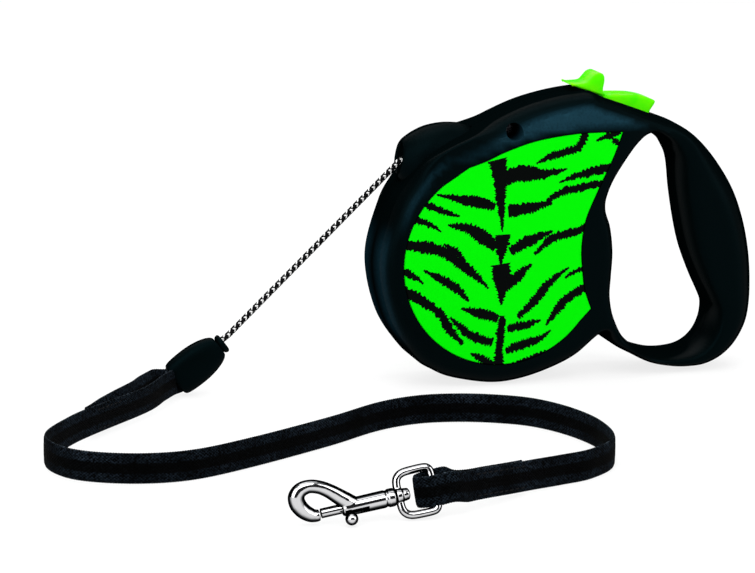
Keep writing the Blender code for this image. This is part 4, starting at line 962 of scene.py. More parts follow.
webbing, webbing_shader = new_finish("webbing", (0.02, 0.022, 0.026), 0.85, specular=0.02)
place_on = add_node(webbing, "ShaderNodeAttribute", attribute_name="strap_place")
parts = add_node(webbing, "ShaderNodeSeparateXYZ")
wire(webbing, place_on.outputs["Vector"], parts.inputs["Vector"])
warp = wave(webbing, parts.outputs["Y"], 1.05 * MM)
weft = wave(webbing, parts.outputs["X"], 1.25 * MM)
weave = math_node(webbing, "MULTIPLY", warp, weft)
from_middle = math_node(webbing, "ABSOLUTE", parts.outputs["Y"], 0.0)
wander = math_node(webbing, "MULTIPLY",
                   math_node(webbing, "SUBTRACT", noise(webbing, 1.5 * MM), 0.5), 1.2 * MM)
outside_band = between(webbing, math_node(webbing, "ADD", from_middle, wander), 1.55 * MM, 2.15 * MM)
tones = mixed(webbing, outside_band, (0.0004, 0.0005, 0.0006, 1), (0.0026, 0.0040, 0.0058, 1))
# painted highlight: the edges are painted lighter where the weft turns round
selvedge = between(webbing, from_middle, 4.85 * MM, 5.10 * MM)
weft_turns = math_node(webbing, "ADD", math_node(webbing, "MULTIPLY", weft, 0.4), 0.5)
painted_edge_light = mixed(webbing, math_node(webbing, "MULTIPLY", selvedge, weft_turns), tones,
              (0.013, 0.017, 0.021, 1))
speckle = math_node(webbing, "ADD", math_node(webbing, "MULTIPLY", weave, 0.16),
                    math_node(webbing, "SUBTRACT", noise(webbing, 0.8 * MM, 1.0), 0.12))
patches = spread(webbing, noise(webbing, 14 * MM), 0.1, 2.1)
flecks = math_node(webbing, "MULTIPLY", spread(webbing, speckle, 0.0, 4.4), patches)
wire(webbing, mixed(webbing, 1.0, painted_edge_light, flecks, "MULTIPLY"), webbing_shader.inputs["Base Color"])
bump = add_node(webbing, "ShaderNodeBump", Distance=0.12 * MM)
wire(webbing, weave, bump.inputs["Height"])
wire(webbing, bump.outputs["Normal"], webbing_shader.inputs["Normal"])
print("webbing nodes:", len(webbing.node_tree.nodes))

# %% [markdown]
# Ribbon and stitches become one piece with two finishes. The place on the ribbon is stored at every
# vertex of the ribbon; the thread needs none.

# %% Sewn strap
thread = fibre("sewing_thread", (0.002, 0.002, 0.0025), 0.6, 0.08, 0.1 * MM, 0.02 * MM)
sewn_strap = add_piece("sewn_strap", np.concatenate(skins), strap_faces, webbing, thread, smooth=60)
sewn_strap.data.polygons.foreach_set("material_index", is_thread)
place = sewn_strap.data.attributes.new("strap_place", "FLOAT_VECTOR", "POINT")
filled = np.zeros((len(sewn_strap.data.vertices), 3), np.float32)
filled[:len(strap_place)] = strap_place
place.data.foreach_set("vector", filled.ravel())
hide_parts("strap")
print("strap vertices:", len(sewn_strap.data.vertices))

# %% [markdown]
# ## The snap
# The bolt snap is cast in zinc and chromed: a barrel, a bow that curls round to meet the sliding
# bolt, and an eye that turns in the barrel. Cast pieces have no sharp inner corners. So the barrel
# and the bow are made as two closed shapes, melted into one skin with a voxel remesh and smoothed.


# %% Fused castings
def fused(name, shapes, voxel, rounds, finish):
    """Closed shapes melted into one smooth skin."""
    verts, faces, made = [], [], 0
    for points, skin in shapes:
        verts.append(points)
        faces += [tuple(made + k for k in face) for face in skin]
        made += len(points)
    obj = cutter(name, np.concatenate(verts), faces)
    obj.data.materials.append(finish)
    melt = obj.modifiers.new("melt", "REMESH")
    melt.mode = "VOXEL"
    melt.voxel_size = voxel
    melt.use_smooth_shade = True
    soften = obj.modifiers.new("soften", "SMOOTH")
    soften.factor = 0.5
    soften.iterations = rounds
    return settle(obj, 50)


print("castings are melted by:", fused.__name__)

# %% [markdown]
# Polished chrome shows the dark surroundings along its contours and the floor in between. The white
# floor lies all round it here, so a dark reflection is painted into its colour where the surface
# turns away. Steel for pins and springs is duller and even.

# %% Chrome and steel
chrome = metal("chrome", (0.62, 0.62, 0.63), 0.05, 0.10, 3 * MM)
chrome_shader = chrome.node_tree.nodes["Principled BSDF"]
chrome_shader.inputs["Specular Tint"].default_value = (0.05, 0.05, 0.06, 1)
# painted dark reflection: the colour turns near black where the surface turns away from the viewer
turned_away = between(chrome, add_node(chrome, "ShaderNodeLayerWeight").outputs["Facing"], 0.09, 0.30)
painted_dark_reflection = mixed(chrome, turned_away, tuple(chrome_shader.inputs["Base Color"].default_value),
               (0.012, 0.013, 0.014, 1))
wire(chrome, painted_dark_reflection, chrome_shader.inputs["Base Color"])
steel = metal("steel", (0.55, 0.55, 0.57), 0.22, 0.36)
print("finishes:", chrome.name, steel.name)

# %% [markdown]
# The barrel is a turned profile and the bow a tube whose thickness changes on its way round. After
# they are melted together, the barrel is bored for the eye's stem and the bolt, and slotted for the
# bolt's knob.

# %% Barrel and bow
BARREL = [(0.95, 0.01), (0.95, 2.6), (1.25, 3.0), (3.1, 3.0), (3.5, 2.65), (4.0, 2.65), (4.4, 2.9),
          (17.4, 2.8), (18.4, 2.3), (18.7, 0.01)]
BOW = [(14.5, 0.6), (16.9, 2.4), (19.2, 4.5), (21.7, 6.7), (24.6, 8.6), (27.8, 9.6), (30.7, 9.1),
       (32.4, 7.2), (32.3, 4.7), (30.9, 2.2), (28.9, 0.4), (27.3, -0.3), (25.95, -0.4)]
BOW_RADIUS = [2.6, 2.8, 2.6, 2.35, 2.2, 2.2, 2.45, 2.7, 2.75, 2.6, 2.35, 2.05, 1.85]
KNOB_ROLL = math.radians(62)
STEM_BORE = [(0, 1.6), (2.2, 1.6), (2.2, 2.1), (3.9, 2.1)]
BOLT_BORE = [(4.6, 1.9), (21, 1.9)]
KNOB_SLOT = np.array((10.1, -4.2, 18.0, 0)) * MM
KNOB_SLOT_HALF = 1.2 * MM
bow_line = smooth_line([(x, 0, z) for x, z in BOW], 5) * MM
bow_size = np.interp(np.linspace(0, len(BOW) - 1, len(bow_line)), range(len(BOW)), BOW_RADIUS) * MM
barrel_shape = loft(turned_rings(BARREL, 48))
bow_shape = loft(tube_rings(bow_line, bow_size, 24, flat=0.92))
snap_hook = fused("snap_hook", [barrel_shape, bow_shape], 0.2 * MM, 5, chrome)
stem_tool = cutter("stem_tool", *loft(turned_rings(STEM_BORE, 32)))
bolt_tool = cutter("bolt_tool", *loft(turned_rings(BOLT_BORE, 32)))
knob_tool = prism("knob_tool", rectangle(*KNOB_SLOT), -KNOB_SLOT_HALF, KNOB_SLOT_HALF)
knob_tool.data.transform(Matrix.Rotation(KNOB_ROLL, 4, "X"))
cut(snap_hook, stem_tool, bolt_tool, knob_tool)
discard(stem_tool, bolt_tool, knob_tool)
print("hook faces:", len(snap_hook.data.polygons))

# %% [markdown]
# The eye is a wire bent to a rounded rectangle, with a stem that turns in the barrel. It leans over
# as it lies on the floor. One half of its line is drawn and the other half mirrors it.

# %% Swivel eye
EYE_LEAN = math.radians(22)
EYE_NEAR = 1.3
EYE_WIRE = 1.35 * MM
HALF_EYE = [(-13.6, 0), (-13.6, 3.2), (-13.5, 5.5), (-12.9, 6.6), (-11.7, 7.1), (-8.4, 7.15),
            (-4.6, 6.9), (-2.6, 5.8), (-1.8, 3.8), (-1.8, 0)]
STEM = [(-4.0, 0.01), (-4.0, 1.2), (-3.6, 1.9), (-2.4, 2.1), (-1.7, 2.1), (-1.2, 2.5), (0.1, 2.6),
        (0.45, 2.4), (0.6, 1.3), (2.55, 1.3), (2.55, 1.75), (3.4, 1.75), (3.5, 0.01)]
half_eye = [(x + EYE_NEAR, z) for x, z in HALF_EYE]
eye_points = [(x, 0, z) for x, z in half_eye] + [(x, 0, -z) for x, z in reversed(half_eye[1:-1])]
eye_line = smooth_line(eye_points, 5, closed=True) * MM
eye_line = eye_line @ np.array(Matrix.Rotation(EYE_LEAN, 3, "X")).T
eye_shape = loft(tube_rings(eye_line, EYE_WIRE, 20, closed=True), closed=True)
snap_eye = fused("snap_eye", [eye_shape, loft(turned_rings(STEM, 40))], 0.16 * MM, 3, chrome)
for piece, node, body in ((snap_hook, "hook_body", "hook"), (snap_eye, "swivel_eye", "casing")):
    piece.data.transform(hook_place)
    seat(piece, body, node)
print("eye faces:", len(snap_eye.data.polygons))

# %% [markdown]
# A coil spring shuts the bolt, and another one lifts the brake button. A coil is a thin tube along a
# screw line, and its end turns lie flat. Each rides on a body in the place of its solid.


# %% Coil spring of the bolt
def coil_spring(name, node, body, axis, radius, wire_radius, turns):
    """A wound spring in the place of its solid."""
    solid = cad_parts[node]
    spots = np.array([solid.matrix_world @ v.co for v in solid.data.vertices])
    along = spots @ axis
    low, high = along.min(), along.max()
    beside = spots - np.outer(along, axis)
    middle = (beside.min(axis=0) + beside.max(axis=0)) / 2
    side = unit(np.cross(axis, (0.0, 1.0, 0.3)))
    angle = np.linspace(0, 2 * math.pi * turns, int(turns * 32) + 1)
    share = np.clip(np.linspace(-0.12, 1.12, len(angle)), 0, 1)
    climb = low + wire_radius + share * (high - low - 2 * wire_radius)
    turning = np.outer(np.cos(angle), side) + np.outer(np.sin(angle), np.cross(axis, side))
    line = middle + np.outer(climb, axis) + radius * turning
    spring = add_piece(name, *loft(tube_rings(line, wire_radius, 12, first=axis)), steel)
    seat(spring, body, node)
    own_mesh(spring)
    print(name, "is", round((high - low) * 1000, 2), "mm long at rest")
    return spring


bolt_coil = coil_spring("bolt_coil", "bolt_spring", "hook", hook_out, 1.2 * MM, 0.25 * MM,
                        3.5)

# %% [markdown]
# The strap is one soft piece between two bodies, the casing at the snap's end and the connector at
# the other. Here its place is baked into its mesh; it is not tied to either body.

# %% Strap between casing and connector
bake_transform(sewn_strap)
strap_at(STRAP_LENGTH + BAR_SLACK)[0]
print("strap goes with", [piece.name for piece in (snap_eye, snap_hook, bolt_coil)])

# %% [markdown]
# ## The casing
# Two moulded shells meet in the middle plane. The round body holds the reel, and the hand loop runs
# out of it and back. The outline is typed in as points in body radii, and the plate from above gives
# it thick round edges. The shoulder above the panel leans in a little towards the crest.

# %% Outlines of the casing
BODY_X = -25.3 * MM
BODY_RADIUS = 48 * MM
BODY_Z = 0.98175 * BODY_RADIUS
REEL = np.array((-28.3, 0, 46.524)) * MM
SWELL = [(104, 1.033), (118, 1.028), (130, 1.040), (142, 1.014), (155, 1.006), (180, 1.018),
         (205, 1.028), (225, 1.041), (235, 1.030), (245, 1.009), (262, 0.980), (275, 0.964),
         (290, 0.955), (305, 0.971), (322, 1.0)]
CREST = [(-0.0333, 2.0900), (0.1667, 2.1700), (0.3750, 2.2230), (0.5625, 2.2521), (0.6625, 2.2521)]
HANDLE = [(0.8896, 0.2542), (1.0458, 0.1625), (1.2188, 0.0729), (1.3958, 0.0300), (1.5417, 0.0180),
          (1.6771, 0.0270), (1.8125, 0.0790), (1.9292, 0.1740), (2.0180, 0.3100), (2.0600, 0.4550),
          (2.0729, 0.6750), (2.0479, 0.9479), (1.9833, 1.2208), (1.8813, 1.4687), (1.7250, 1.7000),
          (1.5625, 1.8667), (1.4021, 1.9688)]
HAND_HOLE = [(1.1687, 1.9021), (1.0437, 1.8250), (0.9125, 1.6417), (0.8312, 1.4771), (0.8083, 1.3479),
             (0.8521, 1.2021), (0.8771, 1.0042), (0.8688, 0.8062), (0.8583, 0.6479), (0.8875, 0.4750),
             (0.9583, 0.3333), (1.1125, 0.2021), (1.2625, 0.1479), (1.4083, 0.1333), (1.5625, 0.1604),
             (1.6708, 0.2396), (1.7292, 0.3500), (1.7417, 0.4667), (1.7104, 0.5521), (1.6208, 0.7312),
             (1.5375, 0.9354), (1.4833, 1.1375), (1.4333, 1.4062), (1.4042, 1.6458), (1.3625, 1.7542),
             (1.3021, 1.8375)]
PANEL_TOP = [(-0.3479, 1.7229), (-0.2083, 1.7688), (-0.0458, 1.8375), (0.1979, 1.9104),
             (0.5250, 1.9521), (0.8771, 1.9542)]
PANEL_BACK = [(0.8771, 1.9542), (0.8125, 1.7750), (0.6813, 1.4917), (0.5938, 1.2771), (0.5646, 1.0583),
              (0.5771, 0.8771), (0.5979, 0.7354), (0.6542, 0.5792)]
BED_SLOPE = math.radians(19.6)
BED_AT = Vector((12.601, 0, 105.398)) * MM
bed_place = Matrix.Translation(BED_AT) @ Matrix.Rotation(BED_SLOPE, 4, "Y")
print("points typed in:", sum(map(len, (SWELL, CREST, HANDLE, HAND_HOLE, PANEL_TOP, PANEL_BACK))))

# %% [markdown]
# The points become smooth closed lines, with their points evenly spaced so that the round edges come
# out even. The panel is a disc round the reel, cut off by the shoulder above it and by a curve behind.


# %% Lines of the casing
def on_plane(points):
    """Places in body radii, in metres on the XZ plane."""
    return np.array(points, float) * BODY_RADIUS + (BODY_X, 0)


def flat_curve(points, steps, closed=False):
    """A smooth curve in the XZ plane."""
    line = smooth_line([(x, 0, z) for x, z in points], steps, closed)
    return line[:, [0, 2]]


def evened(line, step):
    """A closed outline with its points about that far apart."""
    loop = np.concatenate([line, line[:1]])
    points, _ = even_line(np.insert(loop, 1, 0.0, axis=1), step)
    return points[:-1, [0, 2]]


OUTLINE_STEP = 0.8 * MM
PANEL_RADIUS = 38 * MM
BED_MARKS = (24.5, 11.15, -2.2)
bed_points = [(p.x, p.z) for p in (bed_place @ Vector((u * MM, 0, 0)) for u in BED_MARKS)]
swell_points = [(BODY_X + BODY_RADIUS * k * math.cos(math.radians(a)),
                 BODY_Z + BODY_RADIUS * k * math.sin(math.radians(a))) for a, k in SWELL]
case_line = flat_curve([*on_plane(HANDLE), *bed_points, *on_plane(CREST[::-1]), *swell_points], 10, True)
case_line = evened(case_line, OUTLINE_STEP)
case_line[:, 1] = np.maximum(case_line[:, 1], 0.0)
hole_line = evened(flat_curve(on_plane(HAND_HOLE), 8, True), OUTLINE_STEP)[::-1]
angles = np.radians(np.linspace(128, 322, 120))
panel_round = np.stack([REEL[0] + PANEL_RADIUS * np.cos(angles),
                        REEL[2] + PANEL_RADIUS * np.sin(angles)], axis=1)
panel_line = np.concatenate([panel_round, flat_curve(on_plane(PANEL_BACK), 8)[:0:-1],
                             flat_curve(on_plane(PANEL_TOP), 8)[::-1]])
print("outline points:", len(case_line), len(hole_line), len(panel_line))


# %% [markdown]
# The body is as thick as the reel needs, and the handle is slimmer. The round edge is broad on the
# handle, which is held in the hand, and crisp beside the nose. All of that is given along the
# outline, in shares of the body's radius behind its middle or in bearings round it.


# %% Thickness of the casing
def gap_to(points, line):
    """Distance from points to an outline's points."""
    return np.min(np.linalg.norm(points[:, None] - line[None], axis=2), axis=1)


CASE_HALF = 16 * MM
HANDLE_SLIMMER = 3.5 * MM
SHOULDER_X = np.array((-42, -27.5, -15.8, 0, 16.8)) * MM
SHOULDER_Z = np.array((83.7, 89.2, 92.7, 94.7, 94.8)) * MM
SHOULDER_LEAN = 2.0 * MM


def back_of_body(points):
    return (points[:, 0] - BODY_X) / BODY_RADIUS


def bearing_of(points):
    """Bearing of points from the body's middle, in degrees."""
    return np.degrees(np.arctan2(points[:, 1] - BODY_Z, points[:, 0] - BODY_X))


def half_at(points):
    """Half of the casing's thickness."""
    half = CASE_HALF - HANDLE_SLIMMER * ramp(back_of_body(points), 0.86, 1.36)
    above = points[:, 1] - np.interp(points[:, 0], SHOULDER_X, SHOULDER_Z)
    shoulder = ramp(above, 0.0, 14 * MM) * ramp(points[:, 0], -48 * MM, -30 * MM)
    shoulder *= 1 - ramp(points[:, 0], 18 * MM, 34 * MM)
    return half - SHOULDER_LEAN * shoulder


print("half thickness, most and least:", half_at(case_line).max(), half_at(case_line).min())

# %% [markdown]
# The whole casing is one plate at first, with a wide round edge outside and a narrower one round the
# hand hole. Small steps in the edge values are smoothed out, since they would show in the shine.

# %% Round edges of the casing
EDGE_WIDTH = 6 * MM
EDGE_DEPTH = 7 * MM
NOSE_EDGE_LESS = (5.0 * MM, 5.6 * MM)
FACE_SPACING = 2.0 * MM
back = back_of_body(case_line)
outer_width = EDGE_WIDTH - 2.8 * MM * ramp(back, 0.44, 0.78) + 5.8 * MM * ramp(back, 1.44, 1.82)
outer_width = np.minimum(outer_width, 0.50 * gap_to(case_line, hole_line))
outer_depth = EDGE_DEPTH + (half_at(case_line) - 8 * MM) * ramp(back, 0.78, 1.36)
bearing = bearing_of(case_line)
by_nose = ramp(bearing, 95, 108) * (1 - ramp(bearing, 120, 146))
outer_width = outer_width - NOSE_EDGE_LESS[0] * by_nose
outer_depth = outer_depth - NOSE_EDGE_LESS[1] * by_nose
height = hole_line[:, 1] / BODY_RADIUS
from_ends = np.minimum(height - 0.50, 1.83 - height)
hole_width = np.minimum(3.2 * MM + 1.3 * MM * ramp(from_ends, 0.0, 0.33),
                        0.38 * gap_to(hole_line, case_line))
hole_depth = half_at(hole_line) - 2 * MM


def calm(values, rounds=12):
    """A closed row of values without small steps."""
    for _ in range(rounds):
        values = (np.roll(values, 1) + 2 * values + np.roll(values, -1)) / 4
    return values


whole_case = plate("whole_case", [(case_line, calm(outer_width), calm(outer_depth)),
                                  (hole_line, calm(hole_width), calm(hole_depth))],
                   half_at, FACE_SPACING, 9, casing_black)
print("casing skin:", len(whole_case.data.polygons), "faces")

# %% [markdown]
# The shells are hollow. What the reel and the nose need is cut out of them with turned shapes, and
# the hood's own profile, a little larger, makes its seat.


# %% Rooms for the reel and the nose
def across_y(place):
    """A matrix that turns the X axis of turned rings into Y."""
    return Matrix.Translation(place) @ Matrix.Rotation(math.pi / 2, 4, "Z")


def turned_tool(name, profile, sides, place):
    """A cutter from a turned profile, in a place."""
    return cutter(name, *loft(placed(turned_rings(profile, sides), place)))


def slimmed(rings):
    """Rings of the hood, made slimmer from side to side behind the mouth."""
    rings = np.array(rings, float)
    rings[..., 1] *= 1 - 0.30 * ramp(rings[..., 0], 4 * MM, 19 * MM)
    return rings


CHAMBER_RADIUS = 41.2
CHAMBER = [(-10.7, 0.01), (-10.7, 5.5), (-13, 5.5), (-13, CHAMBER_RADIUS), (13, CHAMBER_RADIUS),
           (13, 5.5), (10.7, 5.5), (10.7, 0.01)]
NOSE = [(0.0, 6.6), (0.7, 7.6), (2.2, 9.0), (4.4, 10.7), (7.7, 12.7), (11.0, 14.0), (15.0, 15.0),
        (19.0, 15.4), (22.5, 15.4), (25.0, 14.7), (26.5, 13.6)]
NOSE_FLAT = 0.80
nose_out = Vector(NOSE_OUT)
nose_turn = Matrix((-nose_out, Vector((0, 1, 0)), (-nose_out).cross(Vector((0, 1, 0))))).transposed()
nose_place = (Matrix.Translation(MOUTH) @ nose_turn.to_4x4()
              @ Matrix.Diagonal((1, NOSE_FLAT, 1, 1)))
hood_line = smooth_line([(x, r, 0) for x, r in NOSE], 6)[:, :2]
NOSE_PLAY = 0.3
room_profile = [(-NOSE_PLAY, 0.01), (-NOSE_PLAY, 6.9), *[(x, r + NOSE_PLAY) for x, r in hood_line[1:]],
                (26.8, 13.6), (26.8, 0.01)]
chamber = turned_tool("chamber", CHAMBER, 96, across_y(REEL))
axle_room = turned_tool("axle_room", [(-13.2, 3.3), (13.2, 3.3)], 32, across_y(REEL))
nose_room = cutter("nose_room", *loft(placed(slimmed(turned_rings(room_profile, 80)), nose_place)))
print("hood from", hood_line[0], "to", hood_line[-1], "mm along and out")

# %% [markdown]
# Brake and lock sit in a sloping bed on top of the casing. Their rooms are boxes in the frame of
# that bed. Each screw has a hole for its shank and a wider one for its head.


# %% Rooms for the buttons and the screws
def bed_box(name, low, high):
    """A box cutter between two corners in the frame of the sloping bed, in millimetres."""
    (a, c, e), (b, d, f) = low, high
    tool = prism(name, rectangle(*np.array((a, e, b, f)) * MM), c * MM, d * MM)
    tool.data.transform(bed_place)
    return tool


BED_BOXES = {"brake_chamber": ((-1.0, -11.5, -13.0), (12.5, 11.5, -2.4)),
             "lock_chamber": ((-12.1, -11.5, -13.0), (0.0, 11.5, -3.9)),
             "brake_slot": ((0.3, -5.8, -5.7), (20.6, 5.8, 20)),
             "bed_groove": ((-25, -5.8, 0.0), (0.6, 5.8, 20)),
             "lock_slot": ((-11.6, -2.3, -4.9), (-3.7, 2.3, 20)),
             "leaf_pocket": ((-8.1, -13.1, -7.1), (-3.7, 13.1, -6.0))}
tools = [chamber, axle_room, nose_room, *(bed_box(name, *box) for name, box in BED_BOXES.items())]
leg_room = bed_box("leg_room", (1.8, -11.2, -39.5), (7.2, -6.4, -12.0))
SCREWS = [("front", 0.0167, 1.9833, -1, 3.2), ("root", 0.7938, 0.5042, 1, 2.6),
          ("heel", 1.8958, 0.2458, 1, 2.6), ("crown", 1.4896, 1.8042, 1, 2.6)]
SHANK_HOLE = 1.5
screw_places = {}
for word, x, z, side, recess in SCREWS:
    spot_x, spot_z = on_plane([(x, z)])[0]
    place = Matrix.Translation((spot_x, 0, spot_z)) @ Matrix.Rotation(side * math.pi / 2, 4, "Z")
    tools.append(turned_tool(f"recess_{word}", [(4.2, recess), (17, recess)], 40, place))
    tools.append(turned_tool(f"hole_{word}", [(-8.8, SHANK_HOLE), (5.2, SHANK_HOLE)], 24, place))
    screw_places[word] = place
print("tools for the casing:", len(tools) + 1)

# %% [markdown]
# Each shell keeps its own side of the middle plane, with a hair-line gap at the seam, and gets a
# shallow bed for its panel. Only the left one has room for the long leg of the brake.

# %% Two half shells
SEAM_HALF = 0.15
PANEL_PLAY = 0.3 * MM
PANEL_BED = 14.6
panel_edge = panel_line + outward(panel_line) * PANEL_PLAY
shells = {}
for side, word in ((-1, "left"), (1, "right")):
    shell = whole_case.copy()
    shell.data = whole_case.data.copy()
    shell.name = f"{word}_half_shell"
    scene.collection.objects.link(shell)
    low, high = sorted((side * SEAM_HALF * MM, side * 50 * MM))
    keep = prism(f"keep_{word}", rectangle(*np.array((-200, -100, 200, 200)) * MM), low, high)
    cut(shell, keep, operation="INTERSECT")
    low, high = sorted((side * PANEL_BED * MM, side * 20 * MM))
    panel_room = prism(f"panel_room_{word}", panel_edge, low, high)
    cut(shell, *tools, panel_room, *([leg_room] if side < 0 else []))
    discard(keep, panel_room)
    seat(shell, "casing", f"{word}_shell")
    shells[word] = shell
    print(word, "shell:", len(shell.data.polygons), "faces")
discard(whole_case, leg_room, *tools)

# %% [markdown]
# The shoulder above the panel is spark-eroded to a matt grain. Its lighter, bluer tone than the
# polished edge round it is partly the grain's colour and partly painted light from above. The edge
# itself gets a painted sheen in two places: a streak beside the nose and a thin line down the front.
# A share for all three is stored at every vertex, and the casing's colour follows it.


# %% Matt shoulder and painted sheen
def shoulder_share(spots, plane, gap):
    """How much lighter the shoulder is painted, at points of a shell: grain colour and painted light."""
    above = plane[:, 1] - np.interp(plane[:, 0], SHOULDER_X, SHOULDER_Z)
    share = ramp(above, 0.3 * MM, 2.0 * MM) * ramp(gap, 3.2 * MM, 6.0 * MM)
    # painted light from above: the tone is weak by the nose and grows towards the handle
    share *= 0.2 + 0.8 * ramp(plane[:, 0], -45 * MM, -4 * MM)
    share *= 1 - ramp(plane[:, 0], 24 * MM, 40 * MM)
    return share * (np.abs(spots[:, 1]) > 10 * MM)


def painted_sheen_share(spots, plane, gap):
    """How much painted sheen an edge gets, at points of a shell, where it would catch soft light."""
    bearing = bearing_of(plane) % 360
    band = ramp(gap, 2.4 * MM, 4.2 * MM) * (1 - ramp(gap, 4.2 * MM, 6.4 * MM))
    # painted highlight: a streak of sheen beside the nose, put into the colour
    streak = 0.45 * band * ramp(bearing, 116, 132) * (1 - ramp(bearing, 148, 168))
    # painted highlight: a thin sheen line down the front edge, put into the colour
    rim = 0.50 * (1 - ramp(gap, 0.6 * MM, 2.2 * MM))
    rim = rim * ramp(bearing, 160, 176) * (1 - ramp(bearing, 204, 222))
    return np.maximum(streak, rim) * (np.abs(spots[:, 1]) > 8 * MM)


for shell in shells.values():
    spots = np.empty(3 * len(shell.data.vertices))
    shell.data.vertices.foreach_get("co", spots)
    spots = spots.reshape(-1, 3)
    plane = spots[:, [0, 2]]
    gap = gap_to(plane, case_line)
    share = np.maximum(shoulder_share(spots, plane, gap), painted_sheen_share(spots, plane, gap))
    shoulder_sheen_layer = shell.data.attributes.new("matt_shoulder", "FLOAT", "POINT")
    shoulder_sheen_layer.data.foreach_set("value", share.astype(np.float32))
# the casing's colour reads the shoulder's tone and the painted sheen from this attribute
share = add_node(casing_black, "ShaderNodeAttribute", attribute_name="matt_shoulder")
shoulder_and_sheen_mix = math_node(casing_black, "MULTIPLY", share.outputs["Fac"],
                    spread(casing_black, noise(casing_black, 0.9 * MM), 0.75, 1.25))
# lighter teal for the shoulder's grain and painted light, and for the painted sheen
tones = mixed(casing_black, shoulder_and_sheen_mix, tuple(casing_shader.inputs["Base Color"].default_value),
              (0.0075, 0.032, 0.048, 1))
wire(casing_black, tones, casing_shader.inputs["Base Color"])
print("shoulder tinted on", len(shells), "shells")

# %% [markdown]
# ## The nose and the screws
# The cord leaves through a hood that is moulded apart and let into the shells. It is turned on an
# axis and flattened, with a bore for the eyelet that takes the wear. Its back follows the reel.

# %% Hood of the nose
LIP = [(0.35, 5.55), (0.0, 5.9)]
HOOD_BORE = [(26.5, 3.0), (6.5, 3.0), (6.5, 5.4), (0.9, 5.4)]
reel_room = turned_tool("reel_room", [(-30, CHAMBER_RADIUS), (30, CHAMBER_RADIUS)], 96, across_y(REEL))
outside = slimmed(turned_rings([*LIP, *hood_line], 96))
nose_skin = [*outside, *np.array(turned_rings(HOOD_BORE, 96))]
hood = cutter("cord_hood", *loft([*nose_skin, nose_skin[0]], capped=False))
face_outwards(hood, weld=0.001 * MM)
hood.data.transform(nose_place)
hood.data.materials.append(casing_black)
cut(hood, reel_room)
discard(reel_room)
seat(hood, "casing", "cord_nose")
print("nose faces:", len(hood.data.polygons))

# %% [markdown]
# Screws sit deep in their holes, with a cross recess in each head. A screw is a turned shank and
# head, and two crossed bars cut the recess.

# %% Screws
SCREW = [(-8.5, 0.01), (-8.5, 0.8), (-8.1, 1.2), (4.5, 1.2), (4.5, 2.0), (4.7, 2.2), (5.7, 2.2),
         (6.15, 1.85), (6.3, 1.2), (6.3, 0.01)]
CROSS = [(1.35, 0.3), (0.3, 1.35)]
screw_steel = metal("screw_steel", (0.09, 0.09, 0.10), 0.35, 0.5)
for word, place in screw_places.items():
    screw = cutter(f"screw_{word}", *loft(turned_rings(SCREW, 32)))
    screw.data.materials.append(screw_steel)
    bars = [prism(f"bar_{k}", rectangle(*np.array((5.1, -a, 7, a)) * MM), -b * MM, b * MM)
            for k, (a, b) in enumerate(CROSS)]
    cut(screw, *bars)
    discard(*bars)
    screw.data.transform(place)
    seat(screw, "casing", f"case_screw_{word}")
print("screws:", list(screw_places))

# %% [markdown]
# ## The side panels
# A thin inlay covers each side of the reel. It is printed with tiger stripes: black bands that run
# out from a spine, with edges that look like hair. The stripes could be painted in a texture, but
# their places matter here, so each one is drawn as a line with a width, and the panel's face is cut
# along their edges into green and black faces.

# %% Stripes
SPINE = [([(-31.5, 85.5), (-30.5, 80), (-30, 71.5), (-29.5, 64.5), (-29, 58.5)], [3.3, 2.5, 1.9, 0.9, 0.2]),
         ([(-29, 57.5), (-29, 54), (-29.5, 50), (-29.5, 46)], [2.7, 2.4, 1.3, 0.2]),
         ([(-29.5, 46.5), (-29, 41.5), (-29, 36.5), (-29, 31)], [3.3, 3.5, 1.7, 0.2]),
         ([(-28.5, 27), (-29, 21.5), (-29.5, 14.5), (-29.5, 8.5)], [1, 1.5, 1.2, 1.9])]
FRONT = [([(-32, 68), (-39, 70), (-46.5, 71.5), (-54.5, 73.5)], [1.3, 2.1, 1.2, 0.2]),
         ([(-45.5, 65), (-51.5, 67), (-63, 71.8)], [0.3, 1.2, 1]),
         ([(-31.5, 52.5), (-36, 56.5), (-42.5, 60.5), (-50, 62)], [1.7, 2.5, 1.6, 0.3]),
         ([(-52.5, 59.5), (-57, 62.5), (-67, 66)], [0.3, 1.2, 1]),
         ([(-34, 37.5), (-39.5, 43), (-46.5, 48.5), (-54, 53), (-69.5, 56)], [0.3, 1.6, 1.7, 2.1, 1.2]),
         ([(-43, 48), (-47, 52), (-51.5, 55)], [0.3, 1.3, 0.3]),
         ([(-41.5, 33), (-45.5, 37.5), (-51.5, 41.5), (-59, 45.5)], [0.3, 1.6, 1.3, 0.3]),
         ([(-59, 40.5), (-62, 43), (-69.5, 47)], [0.3, 1.1, 0.8]),
         ([(-43.5, 17), (-48.5, 22.5), (-52, 28.5), (-58.5, 33.5), (-69, 40)], [0.6, 1.6, 1.3, 1.9, 1]),
         ([(-30, 26), (-36, 28), (-44.5, 30.5)], [1.5, 1.9, 0.3]),
         ([(-32, 17), (-38, 19), (-43.5, 22.5), (-48.5, 27.5)], [1.3, 1.6, 1.2, 0.3]),
         ([(-31.5, 8.5), (-36, 11), (-40.5, 13.5)], [1, 1.3, 0.3])]
